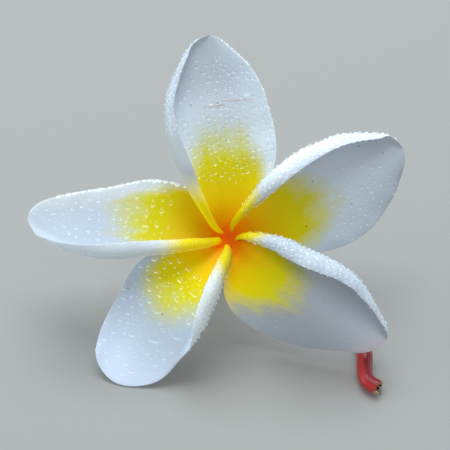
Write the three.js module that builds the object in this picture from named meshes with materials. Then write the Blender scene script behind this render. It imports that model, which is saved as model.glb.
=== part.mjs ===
// A frangipani blossom lying on a surface, with the length of stalk that it fell with.
//
// Millimetres, +Z up, and the origin under the middle of the blossom, on the surface. The blossom
// faces -Y and leans back. It rests on three places: the tip of its lower left petal, the bend of
// the stalk behind it, and the stalk's broken end in front.
//
// Each petal starts at the mouth of the corolla tube and runs outwards along a middle line. A cross
// section at each step along that line is a gentle cup, whose anticlockwise margin rolls inwards
// over the petal's own face. That rolled margin also lies over the plain margin of the next petal.
import * as THREE from 'three';

// ---- Driving dimensions ------------------------------------------------------------------------

const LEAN_DEG = 38; // how far the blossom's axis leans back from straight up

const MOUTH_RADIUS = 2.2; // where a petal's middle line starts, from the blossom's axis
const MOUTH_DEPTH = 4.2; // how far that start lies below the throat
const FLARE_LENGTH = 2.6; // how quickly the middle line levels out as it leaves the tube
const SEAT_LENGTH = 2.2; // how quickly it turns from its seat at the mouth to its own direction

const PETAL_THICKNESS = 0.8;
const MARGIN_THICKNESS = 0.4;
const BASE_HALF_WIDTH = 1.5;
// The longest lip, as a share of the half width that it belongs to: at the base and at the tip.
const LIP_LIMIT = [1.7, 0.6];
const CUP_LENGTH = 3.5; // how quickly the cup of the base opens out
const PETAL_ROWS = 23; // from the base to the tip
const TIP_SHARE = 0.998; // the last row's place along the middle line

const TUBE_LENGTH = 12.5;
const TUBE_RADIUS = 1.9;
const TUBE_MOUTH_RADIUS = 3.1;
const TUBE_BORE_RADIUS = 1.3;
const TUBE_WALL = 0.5;
const TUBE_TOP = -4.85; // the rim, below the petals' bases
const TUBE_FLARE = 4; // how far below the rim the mouth has narrowed to the neck
const TUBE_FLOOR = 1; // the thickness that closes its foot

const CALYX_LOBES = 5;
const CALYX_LOBE_LENGTH = 0.9;
const CALYX_DEPTH = 2.2; // how much of the tube it holds
const CALYX_BASE = 1.2; // the solid part below the tube
const CALYX_WALL = 0.6;

const STALK_RADIUS = 1.7;
const STALK_TOP_RADIUS = 1.5;
const STALK_LEAD = 2.5; // how far it keeps the tube's direction before it bends
const STALK_STEPS = 44;
const STALK_SIDES = 12;
const STALK_HOLLOW_RADIUS = 0.95; // the torn end's hollow
const STALK_HOLLOW_DEPTH = 1.6;

const GAP = 0.3; // between pieces that touch
const ROUND_SIDES = 24;

// Where a petal's half widths and the length of its rolled margin are given, as shares of its length.
const STATIONS = [0, 0.12, 0.35, 0.62, 0.85, 1];

// direction and seat: degrees anticlockwise from +X, seen from the front; reach: mouth to tip.
// bend: how far the middle line swings sideways, half way along and at the tip.
// rolled and plain: the half widths at the stations, towards each margin; lip: the part that rolls.
// tilt: the section's slope in degrees at the base, the middle and the tip; curl: the roll's turn there.
// unroll: where along the petal the roll starts and ends to open again, and by what share of its turn.
// cup: the section's curvature per millimetre at the base, near it and at the tip.
// lift and droop: how far the tip rises or falls, evenly and towards the end.
const PETALS = [
  {
    name: 'petal_top',
    direction: 99,
    seat: 134,
    reach: 43.1,
    bend: [0.7, -3.1],
    rolled: [8.1, 13.2, 12.75, 10.8, 7.2],
    plain: [8.9, 13.4, 12.8, 10.4, 5.5],
    lip: [1.0, 3.2, 6.4, 4.6, 4.2, 0.9],
    tilt: [36, 12, 4],
    curl: [150, 143, 112],
    unroll: [0.88, 1, 0.4],
    cup: [0.3, 0.035, 0.02],
    lift: -5,
    droop: 6.5,
  },
  {
    name: 'petal_left',
    direction: 177,
    seat: 206,
    reach: 43,
    bend: [0.3, -2.6],
    rolled: [5.6, 9.6, 11.6, 8.7, 5.2],
    plain: [9.5, 12, 8.9, 6.8, 6.2],
    lip: [1.0, 4.1, 6.8, 7.9, 4.8, 1.3],
    tilt: [42, 14, 6],
    curl: [150, 159, 71],
    unroll: [0.86, 1, 0.35],
    cup: [0.3, 0.015, 0.01],
    lift: 1,
    droop: -3.5,
  },
  {
    name: 'petal_lower_left',
    direction: 233,
    seat: 279,
    reach: 39.4,
    bend: [-1.2, -1.8],
    rolled: [10.6, 12.75, 9.7, 10.0, 8.6],
    plain: [5.0, 11.0, 9.7, 9.1, 9.6],
    lip: [1.2, 6.1, 6.4, 1.5, 1.2, 1.2],
    tilt: [45, 10, 0],
    curl: [150, 146, 30],
    unroll: [0.4, 0.75, 1.0],
    cup: [0.3, 0.01, -0.01],
    lift: 2,
    droop: -6,
  },
  {
    name: 'petal_lower_right',
    direction: 327,
    seat: 349,
    reach: 40.2,
    bend: [0, 0.1],
    rolled: [10.4, 15.0, 13.5, 8.8, 7.0],
    plain: [11.5, 14.9, 12.9, 9.1, 9.4],
    lip: [1.0, 4.1, 8.4, 6.5, 3.6, 1.8],
    tilt: [36, 30, 22],
    curl: [150, 138, 115],
    unroll: [0.9, 1, 0.1],
    cup: [0.3, 0.01, 0.0],
    lift: -1,
    droop: -1,
  },
  {
    name: 'petal_right',
    direction: 26,
    seat: 62,
    reach: 41.9,
    bend: [0.4, 0.5],
    rolled: [8.8, 14.4, 14.2, 11.75, 8.8],
    plain: [7.3, 12.25, 13.0, 9.7, 6],
    lip: [1.0, 3.5, 7.2, 7.0, 5.2, 1.2],
    tilt: [38, 16, 8],
    curl: [150, 158, 121],
    unroll: [0.9, 1, 0.45],
    cup: [0.3, 0.02, 0.0],
    lift: -1,
    droop: 0,
  },
];

// The stalk's route after it leaves the calyx, from the point on the surface below the throat. It
// turns down onto the surface, then runs forward under the right-hand petals to its broken end.
const STALK_ROUTE = [
  [0.7, 15, 4.5],
  [2.9, 16.7, 2.4],
  [6.5, 16.6],
  [10.7, 13.9],
  [15.5, 9],
  [21, 2.5],
  [25.8, -4.5],
  [28.8, -10.5],
  [29.6, -15.5],
  [29.4, -19.3],
  [29.9, -22.3],
  [32.4, -24.4],
];

// ---- Materials ---------------------------------------------------------------------------------

const petalWhite = new THREE.MeshStandardMaterial({ color: 0xe2e8ee, roughness: 0.45 });
const tubeCream = new THREE.MeshStandardMaterial({ color: 0xe6dfb4, roughness: 0.5 });
const calyxRed = new THREE.MeshStandardMaterial({ color: 0x8c4038, roughness: 0.5 });
const stalkRed = new THREE.MeshStandardMaterial({ color: 0xb83a3a, roughness: 0.35 });

// ---- Small maths -------------------------------------------------------------------------------

const radians = THREE.MathUtils.degToRad;
const polar = (angle) => new THREE.Vector3(Math.cos(angle), Math.sin(angle), 0);

// A smooth curve through values given at the stations.
function through(values, s) {
  const slopes = values.map((_, i) => {
    const before = Math.max(i - 1, 0);
    const after = Math.min(i + 1, values.length - 1);
    return (values[after] - values[before]) / (STATIONS[after] - STATIONS[before]);
  });
  let i = 0;
  while (i < STATIONS.length - 2 && s > STATIONS[i + 1]) i += 1;
  const span = STATIONS[i + 1] - STATIONS[i];
  const t = (s - STATIONS[i]) / span;
  const [t2, t3] = [t * t, t * t * t];
  return (
    (2 * t3 - 3 * t2 + 1) * values[i] +
    (t3 - 2 * t2 + t) * span * slopes[i] +
    (3 * t2 - 2 * t3) * values[i + 1] +
    (t3 - t2) * span * slopes[i + 1]
  );
}

// A parabola through a value at the base, the middle and the tip.
function baseMiddleTip([base, middle, tip], s) {
  return base * (1 - s) * (1 - 2 * s) + middle * 4 * s * (1 - s) + tip * s * (2 * s - 1);
}

// ---- Closed solids -----------------------------------------------------------------------------

function solid(points, triangles) {
  const geometry = new THREE.BufferGeometry();
  const positions = points.flatMap((point) => point.toArray());
  geometry.setAttribute('position', new THREE.Float32BufferAttribute(positions, 3));
  geometry.setIndex(triangles.flat());
  geometry.computeVertexNormals();
  return geometry;
}

// A curved sheet with thickness: a front grid, a back grid, and a strip round their rims.
function sheetSolid(front, back) {
  const [rows, columns] = [front.length, front[0].length];
  const at = (row, column) => row * columns + column;
  const behind = rows * columns;
  const triangles = [];
  for (let row = 0; row < rows - 1; row += 1) {
    for (let column = 0; column < columns - 1; column += 1) {
      const [a, b] = [at(row, column), at(row + 1, column)];
      const [c, d] = [at(row + 1, column + 1), at(row, column + 1)];
      triangles.push([a, b, c], [a, c, d]);
      triangles.push([behind + a, behind + c, behind + b], [behind + a, behind + d, behind + c]);
    }
  }
  const rim = [];
  for (let column = 0; column < columns; column += 1) rim.push(at(0, column));
  for (let row = 1; row < rows; row += 1) rim.push(at(row, columns - 1));
  for (let column = columns - 2; column >= 0; column -= 1) rim.push(at(rows - 1, column));
  for (let row = rows - 2; row > 0; row -= 1) rim.push(at(row, 0));
  rim.forEach((a, i) => {
    const b = rim[(i + 1) % rim.length];
    triangles.push([a, b, behind + b], [a, behind + b, behind + a]);
  });
  return solid([...front.flat(), ...back.flat()], triangles);
}

// A skin over a row of rings that all have the same number of points, closed to a point at both ends.
function ringSolid(start, rings, end) {
  const sides = rings[0].length;
  const first = (ring) => 1 + ring * sides;
  const last = 1 + rings.length * sides;
  const triangles = [];
  for (let side = 0; side < sides; side += 1) {
    const next = (side + 1) % sides;
    triangles.push([0, first(0) + next, first(0) + side]);
    for (let ring = 0; ring < rings.length - 1; ring += 1) {
      const [a, b] = [first(ring) + side, first(ring) + next];
      const [c, d] = [first(ring + 1) + next, first(ring + 1) + side];
      triangles.push([a, b, c], [a, c, d]);
    }
    triangles.push([last, first(rings.length - 1) + side, first(rings.length - 1) + next]);
  }
  return solid([start, ...rings.flat(), end], triangles);
}

function circle(centre, across, up, radius, sides) {
  return Array.from({ length: sides }, (_, side) => {
    const angle = (2 * Math.PI * side) / sides;
    return centre
      .clone()
      .addScaledVector(across, radius * Math.cos(angle))
      .addScaledVector(up, radius * Math.sin(angle));
  });
}

// ---- Petals ------------------------------------------------------------------------------------

function middleLine(petal, s) {
  const out = (petal.reach - MOUTH_RADIUS) * s;
  const settled = 1 - Math.exp(-out / SEAT_LENGTH);
  const angle = radians(petal.seat + (petal.direction - petal.seat) * settled);
  const sideways = petal.bend[0] * 4 * s * (1 - s) + petal.bend[1] * s * s;
  const height = -MOUTH_DEPTH * Math.exp(-out / FLARE_LENGTH) + petal.lift * s + petal.droop * s * s;
  return polar(angle)
    .multiplyScalar(MOUTH_RADIUS + out)
    .addScaledVector(polar(angle + Math.PI / 2), sideways)
    .setZ(height);
}

// Everything that a cross section needs: its frame, its half widths, and its slope at any distance
// from the middle line, positive towards the rolled margin.
function crossSection(petal, s) {
  const step = 1e-3;
  const along = middleLine(petal, s + step).sub(middleLine(petal, s - step)).normalize();
  const forward = new THREE.Vector3(0, 0, 1);
  forward.addScaledVector(along, -along.z).normalize();
  const across = new THREE.Vector3().crossVectors(forward, along);
  const tipRounding = Math.sqrt(1 - s ** 7);
  const rolled = through([BASE_HALF_WIDTH, ...petal.rolled], s) * tipRounding;
  const plain = through([BASE_HALF_WIDTH, ...petal.plain], s) * tipRounding;
  const lipLimit = THREE.MathUtils.lerp(...LIP_LIMIT, s) * rolled;
  const lip = Math.min(through(petal.lip, s), lipLimit);
  const tilt = radians(baseMiddleTip(petal.tilt, s));
  const [unrollStart, unrollEnd, unrollShare] = petal.unroll;
  const unrolled = unrollShare * THREE.MathUtils.smoothstep(s, unrollStart, unrollEnd);
  const curl = radians(baseMiddleTip(petal.curl, s)) * (1 - unrolled);
  const out = (petal.reach - MOUTH_RADIUS) * s;
  const cup =
    petal.cup[1] +
    (petal.cup[2] - petal.cup[1]) * s +
    (petal.cup[0] - petal.cup[1]) * Math.exp(-out / CUP_LENGTH);
  const slope = (q) => tilt + cup * q + curl * THREE.MathUtils.smoothstep(q, rolled - lip, rolled);
  return { centre: middleLine(petal, s), forward, across, rolled, plain, lip, slope };
}

// Distances from the middle line at which a section has points: close together round the roll.
function columnPlaces({ rolled, plain, lip }) {
  const flat = Math.max(rolled - lip, 0);
  return [
    ...[-1, -0.8, -0.55, -0.28].map((share) => share * plain),
    ...[0, 0.35, 0.7].map((share) => share * flat),
    ...[0, 1, 2, 3, 4, 5, 6, 7].map((step) => flat + ((rolled - flat) * step) / 7),
  ];
}

// The section's points on the sheet's middle surface, with the surface's normal at each.
function sectionPoints(section) {
  const follow = (from, to, x, y) => {
    const steps = 8;
    const dq = (to - from) / steps;
    for (let i = 0; i < steps; i += 1) {
      const slope = section.slope(from + (i + 0.5) * dq);
      x += Math.cos(slope) * dq;
      y += Math.sin(slope) * dq;
    }
    return [x, y];
  };
  const places = columnPlaces(section);
  const middle = places.indexOf(0);
  const flatPoints = new Array(places.length);
  flatPoints[middle] = [0, 0];
  for (let i = middle + 1; i < places.length; i += 1) {
    flatPoints[i] = follow(places[i - 1], places[i], ...flatPoints[i - 1]);
  }
  for (let i = middle - 1; i >= 0; i -= 1) {
    flatPoints[i] = follow(places[i + 1], places[i], ...flatPoints[i + 1]);
  }
  return places.map((q, i) => {
    const [x, y] = flatPoints[i];
    const point = section.centre.clone();
    point.addScaledVector(section.across, x).addScaledVector(section.forward, y);
    const slope = section.slope(q);
    const normal = section.forward.clone().multiplyScalar(Math.cos(slope));
    normal.addScaledVector(section.across, -Math.sin(slope));
    const reach = q < 0 ? -q / section.plain : q / section.rolled;
    return { point, normal, reach };
  });
}

function petalGeometry(petal) {
  const [front, back] = [[], []];
  for (let row = 0; row < PETAL_ROWS; row += 1) {
    const share = row / (PETAL_ROWS - 1);
    const s = TIP_SHARE * (1 - (1 - share) ** 1.6);
    const half = sectionPoints(crossSection(petal, s)).map(({ point, normal, reach }) => {
      const thinning = Math.max(reach ** 4, s ** 6);
      const thickness = THREE.MathUtils.lerp(PETAL_THICKNESS, MARGIN_THICKNESS, thinning);
      return { point, offset: normal.multiplyScalar(thickness / 2) };
    });
    front.push(half.map(({ point, offset }) => point.clone().add(offset)));
    back.push(half.map(({ point, offset }) => point.clone().sub(offset)));
  }
  return sheetSolid(front, back);
}

// ---- Tube, calyx and stalk ---------------------------------------------------------------------

// A profile of [radius, height] pairs turned about the blossom's axis.
function turned(profile) {
  const points = profile.map(([radius, height]) => new THREE.Vector2(radius, height));
  return new THREE.LatheGeometry(points, ROUND_SIDES).rotateX(Math.PI / 2);
}

function tubeGeometry() {
  const bottom = TUBE_TOP - TUBE_LENGTH;
  const neck = TUBE_TOP - TUBE_FLARE;
  const halfFlare = (TUBE_MOUTH_RADIUS - TUBE_RADIUS) / 4;
  return turned([
    [0, bottom],
    [TUBE_BORE_RADIUS, bottom],
    [TUBE_RADIUS, bottom + TUBE_FLOOR],
    [TUBE_RADIUS, neck],
    [TUBE_BORE_RADIUS + TUBE_WALL + halfFlare, neck + TUBE_FLARE / 2],
    [TUBE_MOUTH_RADIUS, TUBE_TOP],
    [TUBE_MOUTH_RADIUS - TUBE_WALL, TUBE_TOP],
    [TUBE_BORE_RADIUS + halfFlare, neck + TUBE_FLARE / 2],
    [TUBE_BORE_RADIUS, neck],
    [TUBE_BORE_RADIUS, bottom + 1.5 * TUBE_FLOOR],
    [0, bottom + TUBE_FLOOR],
  ]);
}

// A little cup whose rim rises into short lobes. The rings run from its foot up the outside, over
// the rim, and down the inside.
function calyxGeometry() {
  const inside = TUBE_RADIUS + GAP;
  const outside = inside + CALYX_WALL;
  const floor = TUBE_TOP - TUBE_LENGTH - GAP;
  const foot = floor - CALYX_BASE;
  const rim = floor + CALYX_DEPTH;
  const ring = (radius, height, lobe) =>
    Array.from({ length: 4 * CALYX_LOBES }, (_, i) => {
      const angle = (2 * Math.PI * i) / (4 * CALYX_LOBES);
      const rise = lobe * (0.5 + 0.5 * Math.cos(CALYX_LOBES * angle));
      return polar(angle).multiplyScalar(radius).setZ(height + rise);
    });
  return ringSolid(
    new THREE.Vector3(0, 0, foot),
    [
      ring(STALK_TOP_RADIUS, foot, 0),
      ring(outside, floor, 0),
      ring(outside + 0.1, rim - 0.6, 0),
      ring(inside + 0.2, rim, CALYX_LOBE_LENGTH),
      ring(inside, rim - 0.4, CALYX_LOBE_LENGTH),
      ring(inside, floor, 0),
    ],
    new THREE.Vector3(0, 0, floor),
  );
}

// The stalk is swept along its route, and its broken end has a shallow hollow.
function stalkGeometry(start, startDirection) {
  const lead = start.clone().addScaledVector(startDirection, STALK_LEAD);
  const route = STALK_ROUTE.map(([x, y, z = STALK_RADIUS]) => new THREE.Vector3(x, y, z));
  const curve = new THREE.CatmullRomCurve3([start, lead, ...route]);
  const frames = curve.computeFrenetFrames(STALK_STEPS);
  const ringAt = (step, radius, back = 0) =>
    circle(
      curve.getPointAt(step / STALK_STEPS).addScaledVector(frames.tangents[step], -back),
      frames.normals[step],
      frames.binormals[step],
      radius,
      STALK_SIDES,
    );
  const rings = [];
  for (let step = 0; step <= STALK_STEPS; step += 1) {
    const swelling = THREE.MathUtils.smoothstep(step, 0, STALK_STEPS / 5);
    rings.push(ringAt(step, THREE.MathUtils.lerp(STALK_TOP_RADIUS, STALK_RADIUS, swelling)));
  }
  rings.push(ringAt(STALK_STEPS, STALK_HOLLOW_RADIUS));
  rings.push(ringAt(STALK_STEPS, STALK_HOLLOW_RADIUS * 0.7, STALK_HOLLOW_DEPTH));
  const end = curve.getPointAt(1).addScaledVector(frames.tangents[STALK_STEPS], -STALK_HOLLOW_DEPTH);
  return ringSolid(start, rings, end);
}

// ---- The whole blossom -------------------------------------------------------------------------

function mesh(name, geometry, material) {
  const piece = new THREE.Mesh(geometry, material);
  piece.name = name;
  return piece;
}

const blossom = new THREE.Group();
for (const petal of PETALS) blossom.add(mesh(petal.name, petalGeometry(petal), petalWhite));
blossom.add(mesh('corolla_tube', tubeGeometry(), tubeCream));
blossom.add(mesh('calyx', calyxGeometry(), calyxRed));

// The blossom leans back and comes down until its lowest petal tip meets the surface.
blossom.rotation.x = radians(LEAN_DEG);
blossom.updateMatrixWorld();
blossom.position.z = -new THREE.Box3().setFromObject(blossom, true).min.z;
blossom.updateMatrixWorld();

const calyxFoot = TUBE_TOP - TUBE_LENGTH - GAP - CALYX_BASE;
const stalkStart = blossom.localToWorld(new THREE.Vector3(0, 0, calyxFoot - GAP));
const stalkDirection = new THREE.Vector3(0, 0, -1).transformDirection(blossom.matrixWorld);
const stalk = mesh('flower_stalk', stalkGeometry(stalkStart, stalkDirection), stalkRed);

const frangipani = new THREE.Group();
frangipani.add(blossom, stalk);
const extent = new THREE.Box3().setFromObject(frangipani, true);
const centre = extent.getCenter(new THREE.Vector3());
frangipani.position.set(-centre.x, -centre.y, -extent.min.z);

export default frangipani;
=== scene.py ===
# %% [markdown]
# # A frangipani blossom after rain
#
# The blossom has fallen face up and leans on its own stalk. Five waxy petals overlap like a
# pinwheel, and each one rolls a margin in over its own face. The throat is orange, the hearts of
# the petals are yellow, and the rest is white. Rain stands on it in drops.
#
# The imported model fixes the place and the size of every piece. This script makes the surfaces that
# are seen. It starts by loading that model, and keeps its box to set beside the new one at the end.

# %% Load the frame
import math

import bpy
import numpy as np
from mathutils import Euler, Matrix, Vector


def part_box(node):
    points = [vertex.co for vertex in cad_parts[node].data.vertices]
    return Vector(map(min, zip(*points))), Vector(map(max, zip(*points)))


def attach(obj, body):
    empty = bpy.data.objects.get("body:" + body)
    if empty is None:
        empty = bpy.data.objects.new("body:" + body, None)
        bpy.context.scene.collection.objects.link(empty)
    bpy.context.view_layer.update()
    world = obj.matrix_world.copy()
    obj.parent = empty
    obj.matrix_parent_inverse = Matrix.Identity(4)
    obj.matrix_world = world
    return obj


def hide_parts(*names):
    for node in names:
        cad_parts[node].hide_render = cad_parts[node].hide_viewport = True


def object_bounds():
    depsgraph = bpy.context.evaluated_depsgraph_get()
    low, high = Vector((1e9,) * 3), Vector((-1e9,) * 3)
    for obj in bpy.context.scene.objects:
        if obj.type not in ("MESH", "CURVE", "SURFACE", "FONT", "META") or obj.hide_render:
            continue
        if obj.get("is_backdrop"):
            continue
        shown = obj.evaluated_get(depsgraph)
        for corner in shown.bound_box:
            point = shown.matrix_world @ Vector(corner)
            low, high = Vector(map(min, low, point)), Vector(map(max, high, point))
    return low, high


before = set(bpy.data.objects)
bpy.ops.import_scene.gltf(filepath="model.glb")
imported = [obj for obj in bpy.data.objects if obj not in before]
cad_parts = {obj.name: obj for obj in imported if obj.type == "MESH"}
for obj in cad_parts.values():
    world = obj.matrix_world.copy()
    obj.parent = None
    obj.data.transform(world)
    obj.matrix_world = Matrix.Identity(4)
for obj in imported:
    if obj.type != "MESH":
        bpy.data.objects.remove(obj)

cad_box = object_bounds()
print("the frame has", len(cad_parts), "nodes")

# %% [markdown]
# ## Where the blossom is
#
# The blossom has axes of its own: x to its right, y towards the top petal, and z out of the throat.
# It leans back by a fixed angle, so one rotation takes its axes to the frame's. The place of the
# throat comes from the corolla tube's box, because the tube's round rim is a known distance below
# the throat. Shapes are worked out in millimetres, which are easy to read, and then turned into
# metres.

# %% The blossom's own axes
MM = 0.001
LEAN = math.radians(38)
RIM_RADIUS = 3.1
RIM_DEPTH = 4.85

RIGHT = np.array([1.0, 0.0, 0.0])
UP = np.array([0.0, math.cos(LEAN), math.sin(LEAN)])
OUT = np.array([0.0, -math.sin(LEAN), math.cos(LEAN)])

tube_low, tube_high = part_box("corolla_tube")
rim_centre = np.array([
    (tube_low.x + tube_high.x) / 2,
    tube_low.y + RIM_RADIUS * MM * UP[1],
    tube_high.z - RIM_RADIUS * MM * UP[2],
])
THROAT = rim_centre + RIM_DEPTH * MM * OUT


def in_frame(points):
    """Takes points from the blossom's axes, in millimetres, to the frame, in metres."""
    return THROAT + MM * (points @ np.array([RIGHT, UP, OUT]))


print("the throat is", round(THROAT[2] / MM, 1), "mm above the surface")

# %% [markdown]
# ## The camera
#
# The camera looks straight into the blossom, along its axis, so it looks down at 52 degrees. A long
# lens from 400 mm away keeps the perspective gentle. It is moved a little in its own plane, which
# puts the throat just below the middle of the picture.

# %% The camera
CAMERA_DISTANCE = 400
CAMERA_ASIDE = -0.64
CAMERA_ABOVE = 2.83
LENS = 150.4

camera_data = bpy.data.cameras.new("camera")
camera_data.lens = LENS
camera_data.clip_start = 0.01
camera = bpy.data.objects.new("camera", camera_data)
camera.location = in_frame(np.array([CAMERA_ASIDE, CAMERA_ABOVE, CAMERA_DISTANCE]))
camera.rotation_euler = Euler((LEAN, 0, 0))
bpy.context.scene.collection.objects.link(camera)
bpy.context.scene.camera = camera
print("the camera is at", [round(v, 3) for v in camera.location])

# %% [markdown]
# ## Light
#
# An overcast sky lights the blossom from above. One wide lamp over and behind it stands for the
# brightest part of that sky, a weaker one stands low on its left, and a pale world fills the
# shadows. Flat light like this shows the petals by their tilt: what faces up is bright, and what
# faces the viewer from under a rolled margin is a soft grey, which the petals' colours deepen with
# painted shade. The floor comes last, once there are helpers for meshes and finishes.

# %% Light
SKY_LIGHT = (0.86, 0.95, 1.0)
LAMP_SIDE = 0.6
LAMP_AIM = Vector((0, 0, 0.02))
WORLD_COLOUR = (0.95, 0.96, 0.95, 1)
WORLD_STRENGTH = 0.46


def lamp(name, place, watts):
    """A square lamp in the colour of the sky, which faces the blossom."""
    data = bpy.data.lights.new(name, "AREA")
    data.size = LAMP_SIDE
    data.energy = watts
    data.color = SKY_LIGHT
    made = bpy.data.objects.new(name, data)
    made.location = place
    made.rotation_euler = (LAMP_AIM - Vector(place)).to_track_quat("-Z", "Y").to_euler()
    bpy.context.scene.collection.objects.link(made)
    print(name, "gives", watts, "watts")


lamp("sky_lamp", (0.0, 0.42, 0.82), 6.6)
lamp("side_lamp", (-0.88, 0.0, 0.21), 3.2)

world = bpy.data.worlds.new("pale_room")
world.use_nodes = True
background = world.node_tree.nodes["Background"].inputs
background["Color"].default_value = WORLD_COLOUR
background["Strength"].default_value = WORLD_STRENGTH
bpy.context.scene.world = world
bpy.context.scene.view_settings.view_transform = "Standard"

# %% [markdown]
# ## Writing shader maths as Python
#
# A finish is mostly arithmetic: a noise, scaled and clipped, decides how much of one colour lies
# over another. In the node editor each step is a Math node. Here a small class wraps a socket and
# gives it Python's operators, so that `1 - mask` adds the node for us.

# %% Values that calculate


class Value:
    """A number that varies over a surface. Arithmetic on it adds Math nodes."""

    def __init__(self, finish, socket):
        self.finish = finish
        self.socket = socket

    def math(self, operation, *others):
        inputs = dict(enumerate([self, *others]))
        node = self.finish.node("ShaderNodeMath", {"operation": operation}, inputs)
        return Value(self.finish, node.outputs[0])

    def __add__(self, other):
        return self.math("ADD", other)

    def __sub__(self, other):
        return self.math("SUBTRACT", other)

    def __rsub__(self, other):
        return self.math("MULTIPLY", -1.0).math("ADD", other)

    def __mul__(self, other):
        return self.math("MULTIPLY", other)

    def __abs__(self):
        return self.math("ABSOLUTE")

    __radd__ = __add__
    __rmul__ = __mul__

    def rise(self, low, high):
        """0 below low, 1 above high, and a smooth step between. With low above high, it falls."""
        settings = {"interpolation_type": "SMOOTHSTEP"}
        inputs = {"Value": self, "From Min": low, "From Max": high}
        node = self.finish.node("ShaderNodeMapRange", settings, inputs)
        return Value(self.finish, node.outputs["Result"])


print("a value can be added, taken away and multiplied")

# %% [markdown]
# The finish itself is a thin layer over a material. `node` is the one way in which it makes nodes:
# it takes the node's type, the settings that are fixed first, and what goes into its sockets. What
# is the same all over a surface is set on the shader's own socket when the finish is made. Light
# that a colour gives off by itself is mixed in from NO_LIGHT.

# %% A finish and its nodes
NO_LIGHT = (0.0, 0.0, 0.0)


class Finish:
    """A material with one Principled shader, and the nodes that feed it."""

    def __init__(self, name, **sockets):
        self.material = bpy.data.materials.new(name)
        self.material.use_nodes = True
        self.tree = self.material.node_tree
        self.shader = self.tree.nodes["Principled BSDF"]
        for label, value in sockets.items():
            self.put(self.shader.inputs[label.replace("_", " ")], value)

    def put(self, socket, value):
        """Links a socket to a value or a node's output, or sets it to a number or a colour."""
        if isinstance(value, Value):
            value = value.socket
        if isinstance(value, bpy.types.NodeSocket):
            self.tree.links.new(value, socket)
        elif isinstance(value, tuple) and socket.type == "RGBA":
            socket.default_value = (*value, 1.0)[:4]
        else:
            socket.default_value = value

    def node(self, kind, settings=None, inputs=None):
        made = self.tree.nodes.new(kind)
        for label, value in (settings or {}).items():
            if label == "stops":
                self.set_stops(made.color_ramp, value)
            else:
                setattr(made, label, value)
        for label, value in (inputs or {}).items():
            self.put(made.inputs[label], value)
        return made

    @staticmethod
    def set_stops(ramp, stops):
        while len(ramp.elements) > 1:
            ramp.elements.remove(ramp.elements[0])
        for i, (place, colour) in enumerate(stops):
            element = ramp.elements[0] if i == 0 else ramp.elements.new(place)
            element.position = place
            element.color = (*colour, 1.0)

    def feed(self, **sockets):
        for label, value in sockets.items():
            self.put(self.shader.inputs[label.replace("_", " ")], value)

    def measured(self, name):
        """A number that the mesh carries at each of its points."""
        node = self.node("ShaderNodeAttribute", {"attribute_name": name})
        return Value(self, node.outputs["Fac"])

    def place(self, *parts):
        """A point made of three values, for a texture to be read at."""
        node = self.node("ShaderNodeCombineXYZ", None, dict(enumerate(parts)))
        return node.outputs[0]

    def noise(self, point, scale, detail=3.0, roughness=0.5):
        inputs = {"Vector": point, "Scale": scale, "Detail": detail, "Roughness": roughness}
        node = self.node("ShaderNodeTexNoise", None, inputs)
        return Value(self, node.outputs["Fac"])

    def ramp(self, value, stops):
        return self.node("ShaderNodeValToRGB", {"stops": stops}, {"Fac": value}).outputs["Color"]

    def mix(self, share, first, second, blend="MIX"):
        """Colour first where share is 0, and second where it is 1."""
        settings = {"data_type": "RGBA", "blend_type": blend}
        node = self.node("ShaderNodeMix", settings, {0: share, 6: first, 7: second})
        return node.outputs[2]

    def bump(self, height, distance, strength):
        inputs = {"Height": height, "Distance": distance, "Strength": strength}
        return self.node("ShaderNodeBump", None, inputs).outputs["Normal"]

    def here(self):
        """The point of the object that is being shaded, in metres."""
        return self.node("ShaderNodeTexCoord").outputs["Object"]


print("the shader helpers are ready")

# %% [markdown]
# ## Making a mesh from rows of points
#
# Every piece of the blossom is a skin over rows of points. Numpy works out all the points of a
# surface at once, and this helper turns points and faces into an object, shades it smooth, gives it
# its finish and writes the numbers that the finish reads at each point.

# %% From points to a piece


def piece(name, points, faces, finish, numbers=None):
    mesh = bpy.data.meshes.new(name)
    mesh.from_pydata(points.tolist(), [], [tuple(map(int, face)) for face in faces])
    mesh.validate()
    mesh.polygons.foreach_set("use_smooth", [True] * len(mesh.polygons))
    for label, values in (numbers or {}).items():
        layer = mesh.attributes.new(label, "FLOAT", "POINT")
        layer.data.foreach_set("value", np.asarray(values, np.float32).ravel())
    mesh.materials.append(finish.material)
    mesh.update()
    made = bpy.data.objects.new(name, mesh)
    bpy.context.scene.collection.objects.link(made)
    return made


def grid_faces(rows, columns, around=False):
    """Four-sided faces over a grid of points, closed round its columns if asked."""
    row, column = np.meshgrid(
        np.arange(rows - 1), np.arange(columns if around else columns - 1), indexing="ij"
    )
    following = (column + 1) % columns
    corners = [
        row * columns + column,
        (row + 1) * columns + column,
        (row + 1) * columns + following,
        row * columns + following,
    ]
    return np.stack(corners, axis=-1).reshape(-1, 4)


print("a grid of 3 by 4 points has", len(grid_faces(3, 4)), "faces, and", end=" ")
print(len(grid_faces(3, 4, around=True)), "when it closes round")

# %% [markdown]
# ## The shape of a petal
#
# A petal could be sculpted by hand, but five of them would drift apart from their solids. So each
# petal is a formula with a few sizes, the same sizes that its solid has. A middle line runs from
# the tube's mouth to the tip. Across it, each section is a gentle cup that starts tilted, and its
# anticlockwise margin turns through more than a right angle: that is the rolled lip.

# %% The sizes of the petals
# What all petals share: millimetres, and shares of a petal's length for the rounding of the nose
# and for the stations, where the tables below give its widths. The limit is the largest part of
# the rolled side that may roll, at the base and at the tip.
MOUTH_RADIUS = 2.2
MOUTH_DEPTH = 4.2
FLARE_LENGTH = 2.6
SEAT_LENGTH = 2.2
CUP_LENGTH = 3.5
BASE_ROLLED = 2.1
BASE_PLAIN = 1.5
LIP_LIMIT = (1.7, 0.6)
NOSE_ROUNDING = 0.035
STATIONS = np.array([0, 0.12, 0.35, 0.62, 0.85, 1])

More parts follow.
